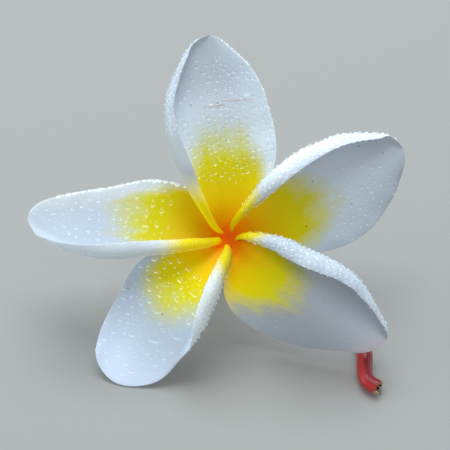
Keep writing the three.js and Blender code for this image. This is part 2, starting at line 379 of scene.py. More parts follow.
# What each petal has of its own. seat and direction: the way it leaves the tube, and the way it
# then takes, in degrees anticlockwise from the right. reach: from the blossom's axis to the tip.
# bend: how far the middle line swings sideways, half way along and at the tip.
# rolled and plain: half widths at the stations. lip: the part of the rolled side that rolls.
# nose: how much of it rolls at the throat, where the roll ends in a blunt nose.
# tilt: the section's slope in degrees at the base, the middle and the tip. curl: the roll's turn
# there. unroll: where along the petal the roll starts and ends to open again, and its share.
# cup: how much the section turns, in radians for each millimetre, at the base, near it and at the
# tip. lift and droop: how far the tip rises or falls, evenly and towards the end.
PETALS = [
    dict(
        name="petal_top", nose=2.3, direction=99, seat=134, reach=43.1, bend=(0.7, -3.1),
        rolled=(8.1, 13.2, 12.75, 10.8, 7.2), plain=(8.9, 13.4, 12.8, 10.4, 5.5),
        lip=(3.2, 6.4, 4.6, 4.2, 0.9),
        tilt=(36, 12, 4), curl=(150, 143, 112), unroll=(0.88, 1, 0.4),
        cup=(0.3, 0.035, 0.02), lift=-5, droop=6.5,
    ),
    dict(
        name="petal_left", nose=3.0, direction=177, seat=206, reach=43, bend=(0.3, -2.6),
        rolled=(5.6, 9.6, 11.6, 8.7, 5.2), plain=(9.5, 12, 8.9, 6.8, 6.2),
        lip=(4.1, 6.8, 7.9, 4.8, 1.3),
        tilt=(42, 14, 6), curl=(150, 159, 71), unroll=(0.86, 1, 0.35),
        cup=(0.3, 0.015, 0.01), lift=1, droop=-3.5,
    ),
    dict(
        name="petal_lower_left", nose=3.2, direction=233, seat=279, reach=39.4, bend=(-1.2, -1.8),
        rolled=(10.6, 12.75, 9.7, 10.0, 8.6), plain=(5.0, 11.0, 9.7, 9.1, 9.6),
        lip=(6.1, 6.4, 1.5, 1.2, 1.2),
        tilt=(45, 10, 0), curl=(150, 146, 30), unroll=(0.4, 0.75, 1.0),
        cup=(0.3, 0.01, -0.01), lift=2, droop=-6,
    ),
    dict(
        name="petal_lower_right", nose=2.3, direction=327, seat=349, reach=40.2, bend=(0, 0.1),
        rolled=(10.4, 15.0, 13.5, 8.8, 7.0), plain=(11.5, 14.9, 12.9, 9.1, 9.4),
        lip=(4.1, 8.4, 6.5, 3.6, 1.8),
        tilt=(36, 30, 22), curl=(150, 138, 115), unroll=(0.9, 1, 0.1),
        cup=(0.3, 0.01, 0.0), lift=-1, droop=-1,
    ),
    dict(
        name="petal_right", nose=2.3, direction=26, seat=62, reach=41.9, bend=(0.4, 0.5),
        rolled=(8.8, 14.4, 14.2, 11.75, 8.8), plain=(7.3, 12.25, 13.0, 9.7, 6),
        lip=(3.5, 7.2, 7.0, 5.2, 1.2),
        tilt=(38, 16, 8), curl=(150, 158, 121), unroll=(0.9, 1, 0.45),
        cup=(0.3, 0.02, 0.0), lift=-1, droop=0,
    ),
]
print("the petals reach", [petal["reach"] for petal in PETALS], "mm from the axis")

# %% [markdown]
# Three small functions say how a size changes along the petal: a smooth curve through the
# stations, a parabola through base, middle and tip, and a smooth step.

# %% Sizes that change along the petal


def through(values, s):
    """A smooth curve through values that are given at the stations."""

    def spread(x):
        return np.concatenate([x[1:2] - x[:1], x[2:] - x[:-2], x[-1:] - x[-2:-1]])

    values = np.asarray(values, float)
    slopes = spread(values) / spread(STATIONS)
    i = np.clip(np.searchsorted(STATIONS, s, side="right") - 1, 0, len(STATIONS) - 2)
    span = STATIONS[i + 1] - STATIONS[i]
    t = (s - STATIONS[i]) / span
    return (
        (2 * t**3 - 3 * t**2 + 1) * values[i]
        + (t**3 - 2 * t**2 + t) * span * slopes[i]
        + (3 * t**2 - 2 * t**3) * values[i + 1]
        + (t**3 - t**2) * span * slopes[i + 1]
    )


def base_middle_tip(values, s):
    base, middle, tip = values
    return base * (1 - s) * (1 - 2 * s) + middle * 4 * s * (1 - s) + tip * s * (2 * s - 1)


def smooth_step(x):
    x = np.clip(x, 0, 1)
    return x * x * (3 - 2 * x)


def unit(vectors):
    return vectors / np.linalg.norm(vectors, axis=-1, keepdims=True)


widest = [through((BASE_ROLLED, *petal["rolled"]), 0.5).round(1) for petal in PETALS]
print("half way along, the rolled sides are", *widest, "mm wide")

# %% [markdown]
# The middle line leaves the mouth of the tube steeply and flattens out. The sheet then hangs on it,
# one section at a time: the section's slope is added up point by point, as a bent wire would be.
# Rows crowd towards the tip and columns towards both margins, where the surface turns fastest.

# %% One petal's sheet
ROWS = 124
FIRST_ROW = -0.012
LAST_ROW = 1 - 1e-6
NOSE_SPACING = 0.22
NOSE_END = 0.16
PLAIN_COLUMNS = 26
FLAT_COLUMNS = 16
LIP_COLUMNS = 34
WIRE_STEPS = 400
TIP_ROUNDING = 7


def row_places():
    """Places of the rows: close together at the nose, and closer still towards the tip."""
    t = np.linspace(0, 1, 2001)
    spacing = (NOSE_SPACING + np.clip(t / NOSE_END, 0, 1)) * (1 - t) ** 0.9
    walked = np.concatenate([[0], np.cumsum((spacing[1:] + spacing[:-1]) / 2)])
    share = np.interp(np.linspace(0, 1, ROWS), t, walked / walked[-1])
    return FIRST_ROW + (LAST_ROW - FIRST_ROW) * share


def middle_line(petal, s):
    """Points of the petal's middle line, which leaves its seat and settles into its direction."""
    out = (petal["reach"] - MOUTH_RADIUS) * s
    settled = 1 - np.exp(-out / SEAT_LENGTH)
    angle = np.radians(petal["seat"] + (petal["direction"] - petal["seat"]) * settled)
    sideways = petal["bend"][0] * 4 * s * (1 - s) + petal["bend"][1] * s**2
    height = -MOUTH_DEPTH * np.exp(-out / FLARE_LENGTH) + petal["lift"] * s + petal["droop"] * s**2
    x = (MOUTH_RADIUS + out) * np.cos(angle) - sideways * np.sin(angle)
    y = (MOUTH_RADIUS + out) * np.sin(angle) + sideways * np.cos(angle)
    return np.stack([x, y, height], axis=-1)


def column_places():
    """Places across a petal: -1 to 0 on the plain side, 0 to 1 flat, and 1 to 2 on the lip."""
    plain = -np.sin(np.linspace(math.pi / 2, 0, PLAIN_COLUMNS, endpoint=False))
    flat = np.linspace(0, 1, FLAT_COLUMNS, endpoint=False)
    lip = 1 + np.sin(np.linspace(0, math.pi / 2, LIP_COLUMNS))
    return np.concatenate([plain, flat, lip])


def petal_sheet(petal, s, places):
    """The sheet's middle surface at rows s and columns places, its normals and its half width."""
    step = 1e-4
    centre = middle_line(petal, s)
    along = unit(middle_line(petal, s + step) - middle_line(petal, s - step))
    forward = unit(np.array([0, 0, 1.0]) - along * along[:, 2:])
    across = np.cross(forward, along)

    rounding = np.sqrt(1 - s**TIP_ROUNDING)
    to_nose = np.clip((NOSE_ROUNDING - s) / (NOSE_ROUNDING - FIRST_ROW), 0, 0.99)
    blunt = np.sqrt(1 - to_nose**2)
    rolled = through((BASE_ROLLED, *petal["rolled"]), s) * rounding * blunt
    plain = through((BASE_PLAIN, *petal["plain"]), s) * rounding
    limit = LIP_LIMIT[0] + (LIP_LIMIT[1] - LIP_LIMIT[0]) * s
    lip = np.minimum(through((petal["nose"], *petal["lip"]), s) * blunt, limit * rolled)
    tilt = np.radians(base_middle_tip(petal["tilt"], s))
    start, end, share = petal["unroll"]
    unrolled = share * smooth_step((s - start) / (end - start))
    curl = np.radians(base_middle_tip(petal["curl"], s)) * (1 - unrolled)
    base_cup, near_cup, tip_cup = petal["cup"]
    opening = np.exp(-(petal["reach"] - MOUTH_RADIUS) * s / CUP_LENGTH)
    cup = near_cup + (tip_cup - near_cup) * s + (base_cup - near_cup) * opening

    points = np.zeros((len(s), len(places), 3))
    normals = np.zeros_like(points)
    distances = np.zeros((len(s), len(places)))
    for i in range(len(s)):
        wire = np.linspace(-plain[i], rolled[i], WIRE_STEPS)
        roll = smooth_step((wire - rolled[i] + lip[i]) / lip[i])
        slope = tilt[i] + cup[i] * wire + curl[i] * roll
        step_x = np.cos((slope[1:] + slope[:-1]) / 2) * np.diff(wire)
        step_y = np.sin((slope[1:] + slope[:-1]) / 2) * np.diff(wire)
        wire_x = np.concatenate([[0], np.cumsum(step_x)])
        wire_y = np.concatenate([[0], np.cumsum(step_y)])
        flat = max(rolled[i] - lip[i], 0)
        q = np.where(
            places < 0,
            places * plain[i],
            np.where(places < 1, places * flat, flat + (places - 1) * (rolled[i] - flat)),
        )
        x = np.interp(q, wire, wire_x) - np.interp(0, wire, wire_x)
        y = np.interp(q, wire, wire_y) - np.interp(0, wire, wire_y)
        turn = np.interp(q, wire, slope)
        points[i] = centre[i] + np.outer(x, across[i]) + np.outer(y, forward[i])
        normals[i] = np.outer(np.cos(turn), forward[i]) - np.outer(np.sin(turn), across[i])
        distances[i] = q
    return points, normals, distances


print("a petal's sheet has", ROWS, "rows of", len(column_places()), "points")

# %% [markdown]
# ## Petal flesh
#
# The skin is thick in the middle and thins to a round edge. The front and the back share their rim
# points, so the piece is closed. Slow waves along the petal and finer ones at its margins keep it
# from looking pressed out of a mould. They are sums of sines with seeded phases, so every run makes
# the same petal.

# %% Petal flesh
FLESH = 0.62
EDGE_TAPER = 6
TIP_TAPER = 12
SWELL = dict(lengths=(17, 11, 23), height=0.22)
RIPPLE = dict(lengths=(5.5, 7.5), height=0.16)
STILL_LENGTH = 12


def waves(seed, s, q, lengths, height):
    """A gentle swell over the petal, from a few sines in seeded directions."""
    random = np.random.default_rng(seed)
    total = np.zeros_like(q)
    for length in lengths:
        turn, phase = random.uniform(0, 2 * math.pi, 2)
        total += np.sin((s * math.cos(turn) + q * math.sin(turn)) * 2 * math.pi / length + phase)
    return height * total / len(lengths)


def petal_skin(petal, seed):
    """The front and back surfaces, in the blossom's axes, and the numbers its finish reads.

    along and across: shares of the petal. aside: millimetres. away: from the axis, as a share.
    """
    s = row_places()
    places = column_places()
    points, normals, q = petal_sheet(petal, s, places)
    length = petal["reach"] * s[:, None] + 0 * q

    edge = np.where(places < 0, -places, places / 2)
    to_margin = np.maximum(edge[None, :] ** EDGE_TAPER, s[:, None] ** TIP_TAPER)
    settled = smooth_step(length / STILL_LENGTH)
    swell = waves(seed, length, q, **SWELL) * settled
    ripple = waves(seed + 50, length, q, **RIPPLE) * settled * np.abs(edge) ** 3
    points = points + normals * (swell + ripple)[..., None]

    half = FLESH / 2 * np.sqrt(np.clip(1 - to_margin, 0, 1))
    front = points + normals * half[..., None]
    back = points - normals * half[..., None]
    run = petal["reach"] - MOUTH_RADIUS
    away = (np.hypot(points[..., 0], points[..., 1]) - MOUTH_RADIUS) / run
    numbers = {
        "along": s[:, None] + 0 * q, "across": places[None, :] + 0 * q, "aside": q, "away": away,
    }
    return front, back, numbers


def petal_faces(rows, columns):
    """The front grid, and the back grid the other way round with the rim's points shared."""
    front = grid_faces(rows, columns)
    index = np.arange(rows * columns).reshape(rows, columns) + rows * columns
    index[:, 0] -= rows * columns
    index[:, -1] -= rows * columns
    index[-1, :] -= rows * columns
    back = index.ravel()[front[:, ::-1]]
    base = np.array([(i + 1, i, index[0, i], index[0, i + 1]) for i in range(columns - 1)])
    return [tuple(dict.fromkeys(face)) for face in np.concatenate([front, back, base])]


skins = {petal["name"]: petal_skin(petal, seed) for seed, petal in enumerate(PETALS)}
for name, (front, back, numbers) in skins.items():
    print(name, "is", round(float(np.ptp(front[..., 0])), 1), "mm wide as seen from the front")

# %% [markdown]
# ## The petals' finish
#
# Frangipani white is slightly cool. The yellow of the heart runs outwards in streaks that fade, so
# its edge is the distance along the petal plus a noise that is stretched the same way. The two
# margins stay white longer than the middle, and the nearer a point of the heart is to the throat,
# the warmer it is: lemon, gold, and orange at last. The outside of the petal, which the rolled lip
# shows, is white nearly down to the tube.
#
# No two petals of a real blossom have the same heart, and each one faces another part of the sky.
# So the colours that they share come first, and then what is different about each heart, with the
# light and shade that its part of the sky gives it painted into its colours.

# %% Colours of the petals
WHITE = (0.757, 0.85, 0.965)
BLUSH = (0.86, 0.74, 0.80)
NOSE = (0.88, 0.72, 0.002)
PAINTED_SHADE = (0.25, 0.25, 0.27)
BRUISE = {
    "brown": (0.10, 0.05, 0.035), "green": (0.26, 0.30, 0.20), "grey": (0.50, 0.50, 0.52),
    "tan": (0.55, 0.40, 0.29),
}
# From the throat outwards.
HEART_STOPS = [
    (0.0, (0.72, 0.19, 0.0005)), (0.03, (0.78, 0.28, 0.001)), (0.09, (0.85, 0.45, 0.001)),
    (0.15, (0.87, 0.575, 0.001)), (0.21, (0.88, 0.645, 0.001)), (0.27, (0.88, 0.73, 0.001)),
    (0.33, (0.88, 0.78, 0.002)), (0.42, (0.88, 0.83, 0.01)),
]

# tone, gold and outside_lighting: how light the white, the yellow and the outside are painted for the
# light that this petal gets, so they are lit and shaded copies of one white and one yellow. white:
# its hue, painted bluer and brighter on the lower left petal for the sky that it faces.
# reach: where along the petal the yellow ends. fade: where across the plain side it starts to end
# sooner. lemon and spread: how much nearer the throat its colours are, by a shift and a factor.
# halo: painted light, a lighter white round the heart. dusk: painted shade, a darker white towards
# the tip. hollow, deep and under: painted shade, a grey beside the roll, in the yellow beside it,
# and on the plain side.
# foot: where the yellow of the outside ends, and its fade above and below. near_white, near_lighting
# and near_span: the white of the outside at its lower end, painted darker as shade on the top petal
# and both right petals, and where it changes.
# glow, sunny and nose_glow: a painted glow for light that comes through the heart, its plain side
# and the nose.
# lip_sky: painted skylight on the outside, which the lip shows. sky: painted skylight on the face,
# then how far it depends on along and on across, and where that starts and ends.
PLAIN_HEART = dict(
    white=WHITE, lemon=0.0, spread=1.0, lit_near_heart=1.0, tip_shade=0.0, hollow=0.0, deep=0.0, under=0.0,
    near_white=WHITE, near_span=(0.12, 0.4), sunny=0.0, nose_glow=0.0, lip_sky=None, sky=None,
)
HEARTS = {
    "petal_top": dict(
        lighting=0.96, gold=0.89, lemon=0.01, lit_near_heart=1.1, tip_shade=0.22, reach=0.42, fade=0.45, glow=0.15,
        nose_glow=0.16, foot=(0.20, 0.11, 0.06), outside_lighting=0.85, near_lighting=0.85,
        near_white=(0.66, 0.73, 0.775), near_span=(0.45, 0.62),
        sky=((0.07, 0.095, 0.12), 0.0, -1.0, 0.1, 1.0),
    ),
    "petal_left": dict(
        lighting=0.87, gold=0.86, lemon=-0.005, reach=0.445, fade=0.6, glow=0.15, nose_glow=0.20,
        foot=(0.225, 0.11, 0.06), outside_lighting=1.07, near_lighting=1.07,
        sky=((0.10, 0.10, 0.05), 0.0, -1.0, 0.3, 1.0),
    ),
    "petal_lower_left": dict(
        lighting=0.81, gold=1.01, white=(0.77, 0.90, 1.06), lemon=0.015, under=0.2, reach=0.435,
        fade=0.5, glow=0.13, foot=(0.14, 0.06, 0.05), outside_lighting=1.2, near_lighting=1.2,
        lip_sky=(0.02, 0.05, 0.09), sky=((0.26, 0.32, 0.42), 1.0, 0.0, 0.5, 1.0),
    ),
    "petal_lower_right": dict(
        lighting=0.88, gold=1.05, lemon=-0.02, spread=1.3, hollow=0.48, deep=0.5, under=0.35,
        reach=0.375, fade=0.3, glow=0.16, sunny=0.16, foot=(0.13, 0.04, 0.04), outside_lighting=1.0,
        near_lighting=0.85, lip_sky=(0.01, 0.02, 0.045), sky=((0.03, 0.033, 0.037), 1.0, 0.0, 0.6, 1.0),
    ),
    "petal_right": dict(
        lighting=0.97, gold=0.89, lemon=-0.015, tip_shade=0.24, under=0.27, reach=0.44, fade=0.4, glow=0.24,
        foot=(0.175, 0.06, 0.04), outside_lighting=1.2, near_lighting=0.8, lip_sky=(0.08, 0.115, 0.24),
    ),
}
print("the hearts end at", [heart["reach"] for heart in HEARTS.values()], "of their petals")

# %% Streaks in the heart


def toned(colour, lighting):
    """The same colour a little darker or lighter."""
    return tuple(min(part * lighting, 1.0) for part in colour)


def petal_colour(finish, heart, seed):
    """White, with the streaky yellow heart in front and the yellow foot on the outside."""
    along = finish.measured("along")
    across = finish.measured("across")
    aside = finish.measured("aside")

    def streaks(width, length, detail):
        point = finish.place(aside * width + seed, along * length, seed)
        return finish.noise(point, 1.0, detail, 0.6) - 0.5

    broad = streaks(0.6, 4.0, 3.0)
    hair = streaks(1.5, 9.0, 4.0)
    patch = streaks(0.22, 9.0, 2.0)
    ragged = along + broad * 0.14 + hair * 0.065 + patch * 0.16
    plain_side = (across * -1.0).rise(heart["fade"], 1.05) * 0.28
    rolled_side = across.rise(0.1, 1.15) * 0.16
    reach = heart["reach"]
    yellow = (ragged + plain_side + rolled_side).rise(reach + 0.19, reach - 0.09)
    from_throat = (along * 0.4 + finish.measured("away") * 0.6) * heart["spread"]
    # Painted light: the yellow and the white are made lighter or darker for this petal's light.
    stops = [(place, toned(colour, heart["gold"])) for place, colour in HEART_STOPS]
    depth = finish.ramp(from_throat + broad * 0.06 + heart["lemon"], stops)
    white = toned(heart["white"], heart["lighting"])
    lit_near_heart = toned(white, heart["lit_near_heart"])
    front = finish.mix(yellow, finish.mix(along.rise(0.8, 0.5), white, lit_near_heart), depth)
    # Painted shade: grey multiplied in beside the roll, on the plain side and towards the tip.
    hollow = across.rise(-0.3, 0.95) * heart["hollow"]
    deep = across.rise(-0.15, 0.9) * yellow * heart["deep"]
    under = (across * -1.0).rise(0.1, 1.0) * along.rise(0.2, 0.7) * heart["under"]
    tip_shade = along.rise(0.65, 1.0) * heart["tip_shade"]
    front = finish.mix(hollow + deep + under + tip_shade, front, PAINTED_SHADE, "MULTIPLY")

    foot, above, below = heart["foot"]
    outside = (along + broad * 0.07 + hair * 0.07).rise(foot + above, foot - below)
    nose = finish.mix(along.rise(0.03, -0.015), NOSE, HEART_STOPS[1][1])
    # Painted light and shade: the outside's white is lighter or darker for this petal's light.
    near, far = toned(heart["near_white"], heart["near_lighting"]), toned(WHITE, heart["outside_lighting"])
    back = finish.mix(outside, finish.mix(along.rise(*heart["near_span"]), near, far), nose)
    colour = finish.mix(finish.measured("inside"), back, front)

    # The thin flesh of the heart lets light through, and a faint glow stands for it.
    sunny = (across * -1.0).rise(-0.3, 0.4) * along.rise(0.03, 0.16) * heart["sunny"]
    glow = (along.rise(0.1, 0.0) * 0.16 + along.rise(0.45, 0.0) * heart["glow"] + sunny) * yellow
    back_glow = finish.mix(outside * heart["nose_glow"], NO_LIGHT, nose)
    if heart["lip_sky"]:
        back_glow = finish.mix(along.rise(0.2, 0.45), back_glow, heart["lip_sky"], "ADD")
    heart_glow = finish.mix(glow, NO_LIGHT, depth)
    if heart["sky"]:
        sky, with_along, with_across, low, high = heart["sky"]
        facing_sky = (along * with_along + across * with_across).rise(low, high) * (1.0 - yellow)
        heart_glow = finish.mix(facing_sky, heart_glow, sky, "ADD")
    finish.feed(Emission_Color=finish.mix(finish.measured("inside"), back_glow, heart_glow))
    return colour


print("the heart's colours have", len(HEART_STOPS), "steps")

# %% [markdown]
# Small faults make the skin look grown: bruises the size of a grain of sand, and on the top petal a
# crease where it was folded. Each has a place of its own, so they are tables. A bruise has its
# distance along and aside in millimetres, its radius, its kind and its strength. A line of the
# crease has its distance along at the middle line, its slope, its two ends aside and its strength.

# %% Specks and a crease
SPECKS = {
    "petal_top": [
        (28.0, 4.25, 0.16, "brown", 0.9), (28.2, -1.63, 0.15, "brown", 0.9),
        (17.2, 2.29, 0.30, "grey", 0.5),
    ],
    "petal_lower_left": [
        (20.2, 0.20, 0.18, "brown", 0.9), (15.8, -7.12, 0.15, "brown", 0.8),
        (21.0, -8.95, 0.15, "brown", 0.8),
    ],
    "petal_lower_right": [(23.2, 0.20, 0.24, "grey", 0.6), (32.8, -4.51, 0.30, "grey", 0.6)],
    "petal_right": [
        (14.7, -5.69, 0.2, "brown", 0.8), (20.3, 2.68, 0.30, "green", 0.45),
        (37.3, 1.37, 0.26, "green", 0.45), (33.1, 5.03, 0.26, "green", 0.4),
        (26.1, -5.56, 0.24, "green", 0.4),
    ],
}
CREASE = [
    (27.4, 0.10, 2.0, -3.6, 0.5), (27.0, 0.06, 0.6, -2.4, 0.3),
    (28.5, 0.035, -2.0, -9.6, 0.5), (28.1, 0.03, -6.6, -9.4, 0.4),
]
CREASE_WIDTH = 0.26


def with_specks(finish, colour, length, specks, seed):
    """The colour with small bruises on it, each with a rough edge."""
    ground = finish.place(finish.measured("along") * length, finish.measured("aside"), 0.0)
    rough = finish.noise(ground, 3.0 + seed * 0.1, 2.0) - 0.5
    for along, aside, radius, kind, strength in specks:
        settings = {"operation": "DISTANCE"}
        node = finish.node("ShaderNodeVectorMath", settings, {0: ground, 1: (along, aside, 0)})
        away = Value(finish, node.outputs["Value"]) + rough * radius
        colour = finish.mix(away.rise(radius * 1.25, radius * 0.5) * strength, colour, BRUISE[kind])
    return colour


def with_crease(finish, colour, length):
    """The colour with the fold across it, where the skin has browned in broken fine lines."""
    along = finish.measured("along") * length
    aside = finish.measured("aside")
    wander = finish.noise(finish.place(aside * 0.5, along * 0.2, 4.0), 1.0, 3.0) - 0.5
    broken = finish.noise(finish.place(aside * 0.9, along * 0.9, 9.0), 1.0, 2.0).rise(0.4, 0.5)
    lines = 0.0
    for height, slope, start, end, strength in CREASE:
        fold = along + aside * slope + wander * 1.1 - height
        ends = aside.rise(start, start - 1.0) * aside.rise(end, end + 1.0)
        lines = abs(fold).rise(CREASE_WIDTH, 0.05) * ends * strength + lines
    return finish.mix(lines * (broken * 0.5 + 0.5), colour, BRUISE["tan"])


print(sum(map(len, SPECKS.values())), "specks, and a crease of", len(CREASE), "lines")

# %% [markdown]
# The skin is waxy, so its gloss is weak and wide. A fine noise roughens it, and veins that run with
# the petal lift it by a hair. Light enters the flesh a little, which softens every shadow on it.

# %% The petals' finish


def petal_finish(petal, seed):
    """White and yellow, then the specks, the crease and the blush, and veins over all of them."""
    name = petal["name"]
    finish = Finish(
        name + "_skin", Subsurface_Weight=0.16, Subsurface_Radius=(1.0, 0.9, 0.7),
        Subsurface_Scale=0.0012, Specular_IOR_Level=0.1, Emission_Strength=1.0,
    )
    colour = petal_colour(finish, {**PLAIN_HEART, **HEARTS[name]}, seed)
    colour = with_specks(finish, colour, petal["reach"], SPECKS.get(name, []), seed)
    if name == "petal_top":
        colour = with_crease(finish, colour, petal["reach"])
    if name == "petal_lower_right":
        blush = finish.measured("along").rise(0.80, 1.0) * finish.measured("across").rise(0.6, -0.8)
        colour = finish.mix(blush * 0.5, colour, BLUSH)

    along, aside = finish.measured("along"), finish.measured("aside")
    fine = finish.noise(finish.here(), 2600.0, 3.0)
    veins = finish.noise(finish.place(aside * 1.6, along * 2.5, seed), 1.0, 3.0)
    colour = finish.mix((veins - 0.5).rise(0.02, 0.16), colour, (0.985, 0.985, 0.99), "MULTIPLY")
    finish.feed(
        Base_Color=colour,
        Roughness=fine * 0.14 + 0.36,
        Normal=finish.bump(fine * 0.7 + veins * 0.3, 0.0001, 0.4),
    )
    return finish


# %% The petals
for seed, petal in enumerate(PETALS):
    front, back, numbers = skins[petal["name"]]
    rows, columns = front.shape[:2]
    points = in_frame(np.concatenate([front.reshape(-1, 3), back.reshape(-1, 3)]))
    doubled = {label: np.concatenate([v.ravel(), v.ravel()]) for label, v in numbers.items()}
    doubled["inside"] = np.repeat([1.0, 0.0], rows * columns)
    finish = petal_finish(petal, seed * 3.7)
    made = piece("fine_" + petal["name"], points, petal_faces(rows, columns), finish, doubled)
    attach(made, "root")
    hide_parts(petal["name"])
    print(made.name, "has", len(made.data.polygons), "faces")

# %% [markdown]
# ## The corolla tube
#
# The five petals grow out of one narrow tube. It is a turned shape: a profile that is swept round
# the blossom's axis, with a faint wobble, as nothing that grows is quite round. The outside rises
# from the calyx and flares behind the petals' feet. Over its rim the profile turns back into the
# shallow orange funnel that closes the throat between the petals.

# %% A turned skin
TURN = np.linspace(0, 2 * math.pi, 72, endpoint=False)


def turned(profile, wobble, seed):
    """Rings of points round the blossom's axis, from radius and height in millimetres."""
    phases = np.random.default_rng(seed).uniform(0, 2 * math.pi, 3)
    radius = profile[:, :1] * np.ones(len(TURN))
    for lobes, phase in zip((2, 3, 5), phases):
        radius = radius * (1 + wobble * np.cos(lobes * TURN + phase))
    height = profile[:, 1:] * np.ones(len(TURN))
    return np.stack([radius * np.cos(TURN), radius * np.sin(TURN), height], axis=-1)


def closed_faces(rings, sides):
    """The faces between rings of points, with one face each for the first and the last ring."""
    first = tuple(range(sides))[::-1]
    last = tuple(range((rings - 1) * sides, rings * sides))
    return [first, *map(tuple, grid_faces(rings, sides, around=True)[:, ::-1]), last]


def smooth_profile(knots, count):
    """A curve through radius and height pairs, at even steps along it."""
    knots = np.array(knots, float)
    walked = np.concatenate([[0], np.cumsum(np.linalg.norm(np.diff(knots, axis=0), axis=1))])
    fine = np.linspace(0, walked[-1], count)
    padded = np.concatenate([2 * knots[:1] - knots[1:2], knots, 2 * knots[-1:] - knots[-2:-1]])
    i = np.clip(np.searchsorted(walked, fine, side="right") - 1, 0, len(knots) - 2)
    t = ((fine - walked[i]) / (walked[i + 1] - walked[i]))[:, None]
    a, b, c, d = (padded[i + k] for k in range(4))
    return 0.5 * (
        2 * b + (c - a) * t + (2 * a - 5 * b + 4 * c - d) * t**2 + (3 * b - a - 3 * c + d) * t**3
    )


print("a turned skin has", len(TURN), "sides")

# %% The tube
TUBE_STEPS = 90
TUBE_FOOT = -17.3
TUBE_RISE = 14.0
TUBE_KNOTS = [
    (1.70, TUBE_FOOT), (1.72, -15.0), (1.80, -12.0), (1.90, -9.0), (2.12, -7.0), (2.7, -5.7),
    (3.6, -4.7), (4.5, -3.85), (4.55, -3.7), (4.3, -3.68), (3.4, -3.9), (2.4, -4.35),
    (1.6, -4.6), (0.9, -4.75), (0.4, -4.85), (0.1, -4.9),
]
tube_finish = Finish(
    "tube_skin", Subsurface_Weight=0.15, Subsurface_Radius=(1.0, 0.7, 0.4),
    Subsurface_Scale=0.001, Specular_IOR_Level=0.1, Emission_Strength=1.0,
)
tube_profile = smooth_profile(TUBE_KNOTS, TUBE_STEPS)
tube_points = turned(tube_profile, wobble=0.012, seed=5)
rim_row = int(np.argmax(tube_profile[:, 1]))
step_count = np.arange(TUBE_STEPS)[:, None] * np.ones(len(TURN))
tube_numbers = {
    "inside": (step_count > rim_row) * 1.0,
    "rise": (tube_points[..., 2] - TUBE_FOOT) / TUBE_RISE,
    "radius": np.hypot(tube_points[..., 0], tube_points[..., 1]),
}
rise, radius = tube_finish.measured("rise"), tube_finish.measured("radius")
inside = tube_finish.measured("inside")
lengthways = tube_finish.noise(tube_finish.here(), 900.0, 3.0)
tube_outside = tube_finish.ramp(rise + (lengthways - 0.5) * 0.12, [
    (0.0, (0.40, 0.36, 0.12)), (0.35, (0.62, 0.62, 0.30)), (0.7, (0.82, 0.80, 0.46)),
    (1.0, (0.84, 0.70, 0.10)),
])
tube_inside = tube_finish.ramp(radius * 0.3, [
    (0.0, (0.80, 0.13, 0.0005)), (0.3, (0.86, 0.16, 0.0005)), (1.0, (0.90, 0.28, 0.001)),
])
tube_finish.feed(
    # Painted light: the funnel's orange glows a little, to lighten the shade deep in the throat.
    Emission_Color=tube_finish.mix(inside * 0.2, NO_LIGHT, tube_inside),
    Base_Color=tube_finish.mix(inside, tube_outside, tube_inside),
    Roughness=lengthways * 0.15 + 0.34,
    Normal=tube_finish.bump(lengthways, 0.0001, 0.4),
)
tube = piece(
    "fine_corolla_tube", in_frame(tube_points.reshape(-1, 3)), closed_faces(TUBE_STEPS, len(TURN)),
    tube_finish, tube_numbers,
)
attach(tube, "root")
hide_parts("corolla_tube")
print(tube.name, "has", len(tube.data.polygons), "faces")

# %% [markdown]
# ## The calyx
#
# Below the tube sits a tiny cup with five blunt lobes, where the flower joins its stalk. It is
# turned too, but its rim rises and falls five times. The profile goes up the outside, over the rim
# and down the inside to the tube.

# %% The calyx
CALYX_STEPS = 60
CALYX_LOBES = 5
CALYX_FOOT = -19.2
CALYX_HEIGHT = 4.5
LOBES_FROM = -17.6
LOBES_RISE = 2.4
CALYX_KNOTS = [
    (1.35, CALYX_FOOT), (1.75, -18.9), (2.25, -18.3), (2.6, -17.4), (2.72, -16.4), (2.74, -15.6),
    (2.68, -15.15), (2.5, -15.02), (2.34, -15.2), (2.28, -16.0), (2.24, -17.2), (1.2, -17.55),
]
calyx_points = turned(smooth_profile(CALYX_KNOTS, CALYX_STEPS), wobble=0.015, seed=9)
lobe = np.abs(np.cos(TURN * CALYX_LOBES / 2 + 0.5)) ** 0.7
near_rim = smooth_step((calyx_points[..., 2] - LOBES_FROM) / LOBES_RISE)
calyx_points[..., 2] += near_rim * (lobe * 1.15 - 0.75)
calyx_points[..., :2] *= 1 + (near_rim * (lobe - 0.6) * 0.05)[..., None]
calyx_finish = Finish("calyx_skin", Specular_IOR_Level=0.4)
calyx_rise = calyx_finish.measured("rise")
blotch = calyx_finish.noise(calyx_finish.here(), 700.0, 4.0)
calyx_finish.feed(
    Base_Color=calyx_finish.ramp(calyx_rise + (blotch - 0.5) * 0.5, [
        (0.0, (0.38, 0.05, 0.035)), (0.4, (0.30, 0.09, 0.035)), (0.75, (0.22, 0.17, 0.05)),
        (1.0, (0.34, 0.12, 0.06)),
    ]),
    Roughness=blotch * 0.2 + 0.28,
    Normal=calyx_finish.bump(blotch, 0.0002, 0.5),
)
calyx = piece(
    "fine_calyx", in_frame(calyx_points.reshape(-1, 3)), closed_faces(CALYX_STEPS, len(TURN)),
    calyx_finish, {"rise": (calyx_points[..., 2] - CALYX_FOOT) / CALYX_HEIGHT},
)
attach(calyx, "root")
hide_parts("calyx")
print(calyx.name, "has", len(calyx.data.polygons), "faces")

# %% [markdown]
# ## The stalk
#
# The stalk leaves the calyx along the blossom's axis, bends down to the surface and runs forward
# under the petals to the place where it broke off. A curve with a round bevel would make a perfect
# hose. A real stalk has shallow ridges, so its rings are made here: a smooth curve through the same
# points as its solid has, a frame that follows the curve without twisting, and a radius that varies
# round each ring. The torn end has a ragged rim and a hollow.

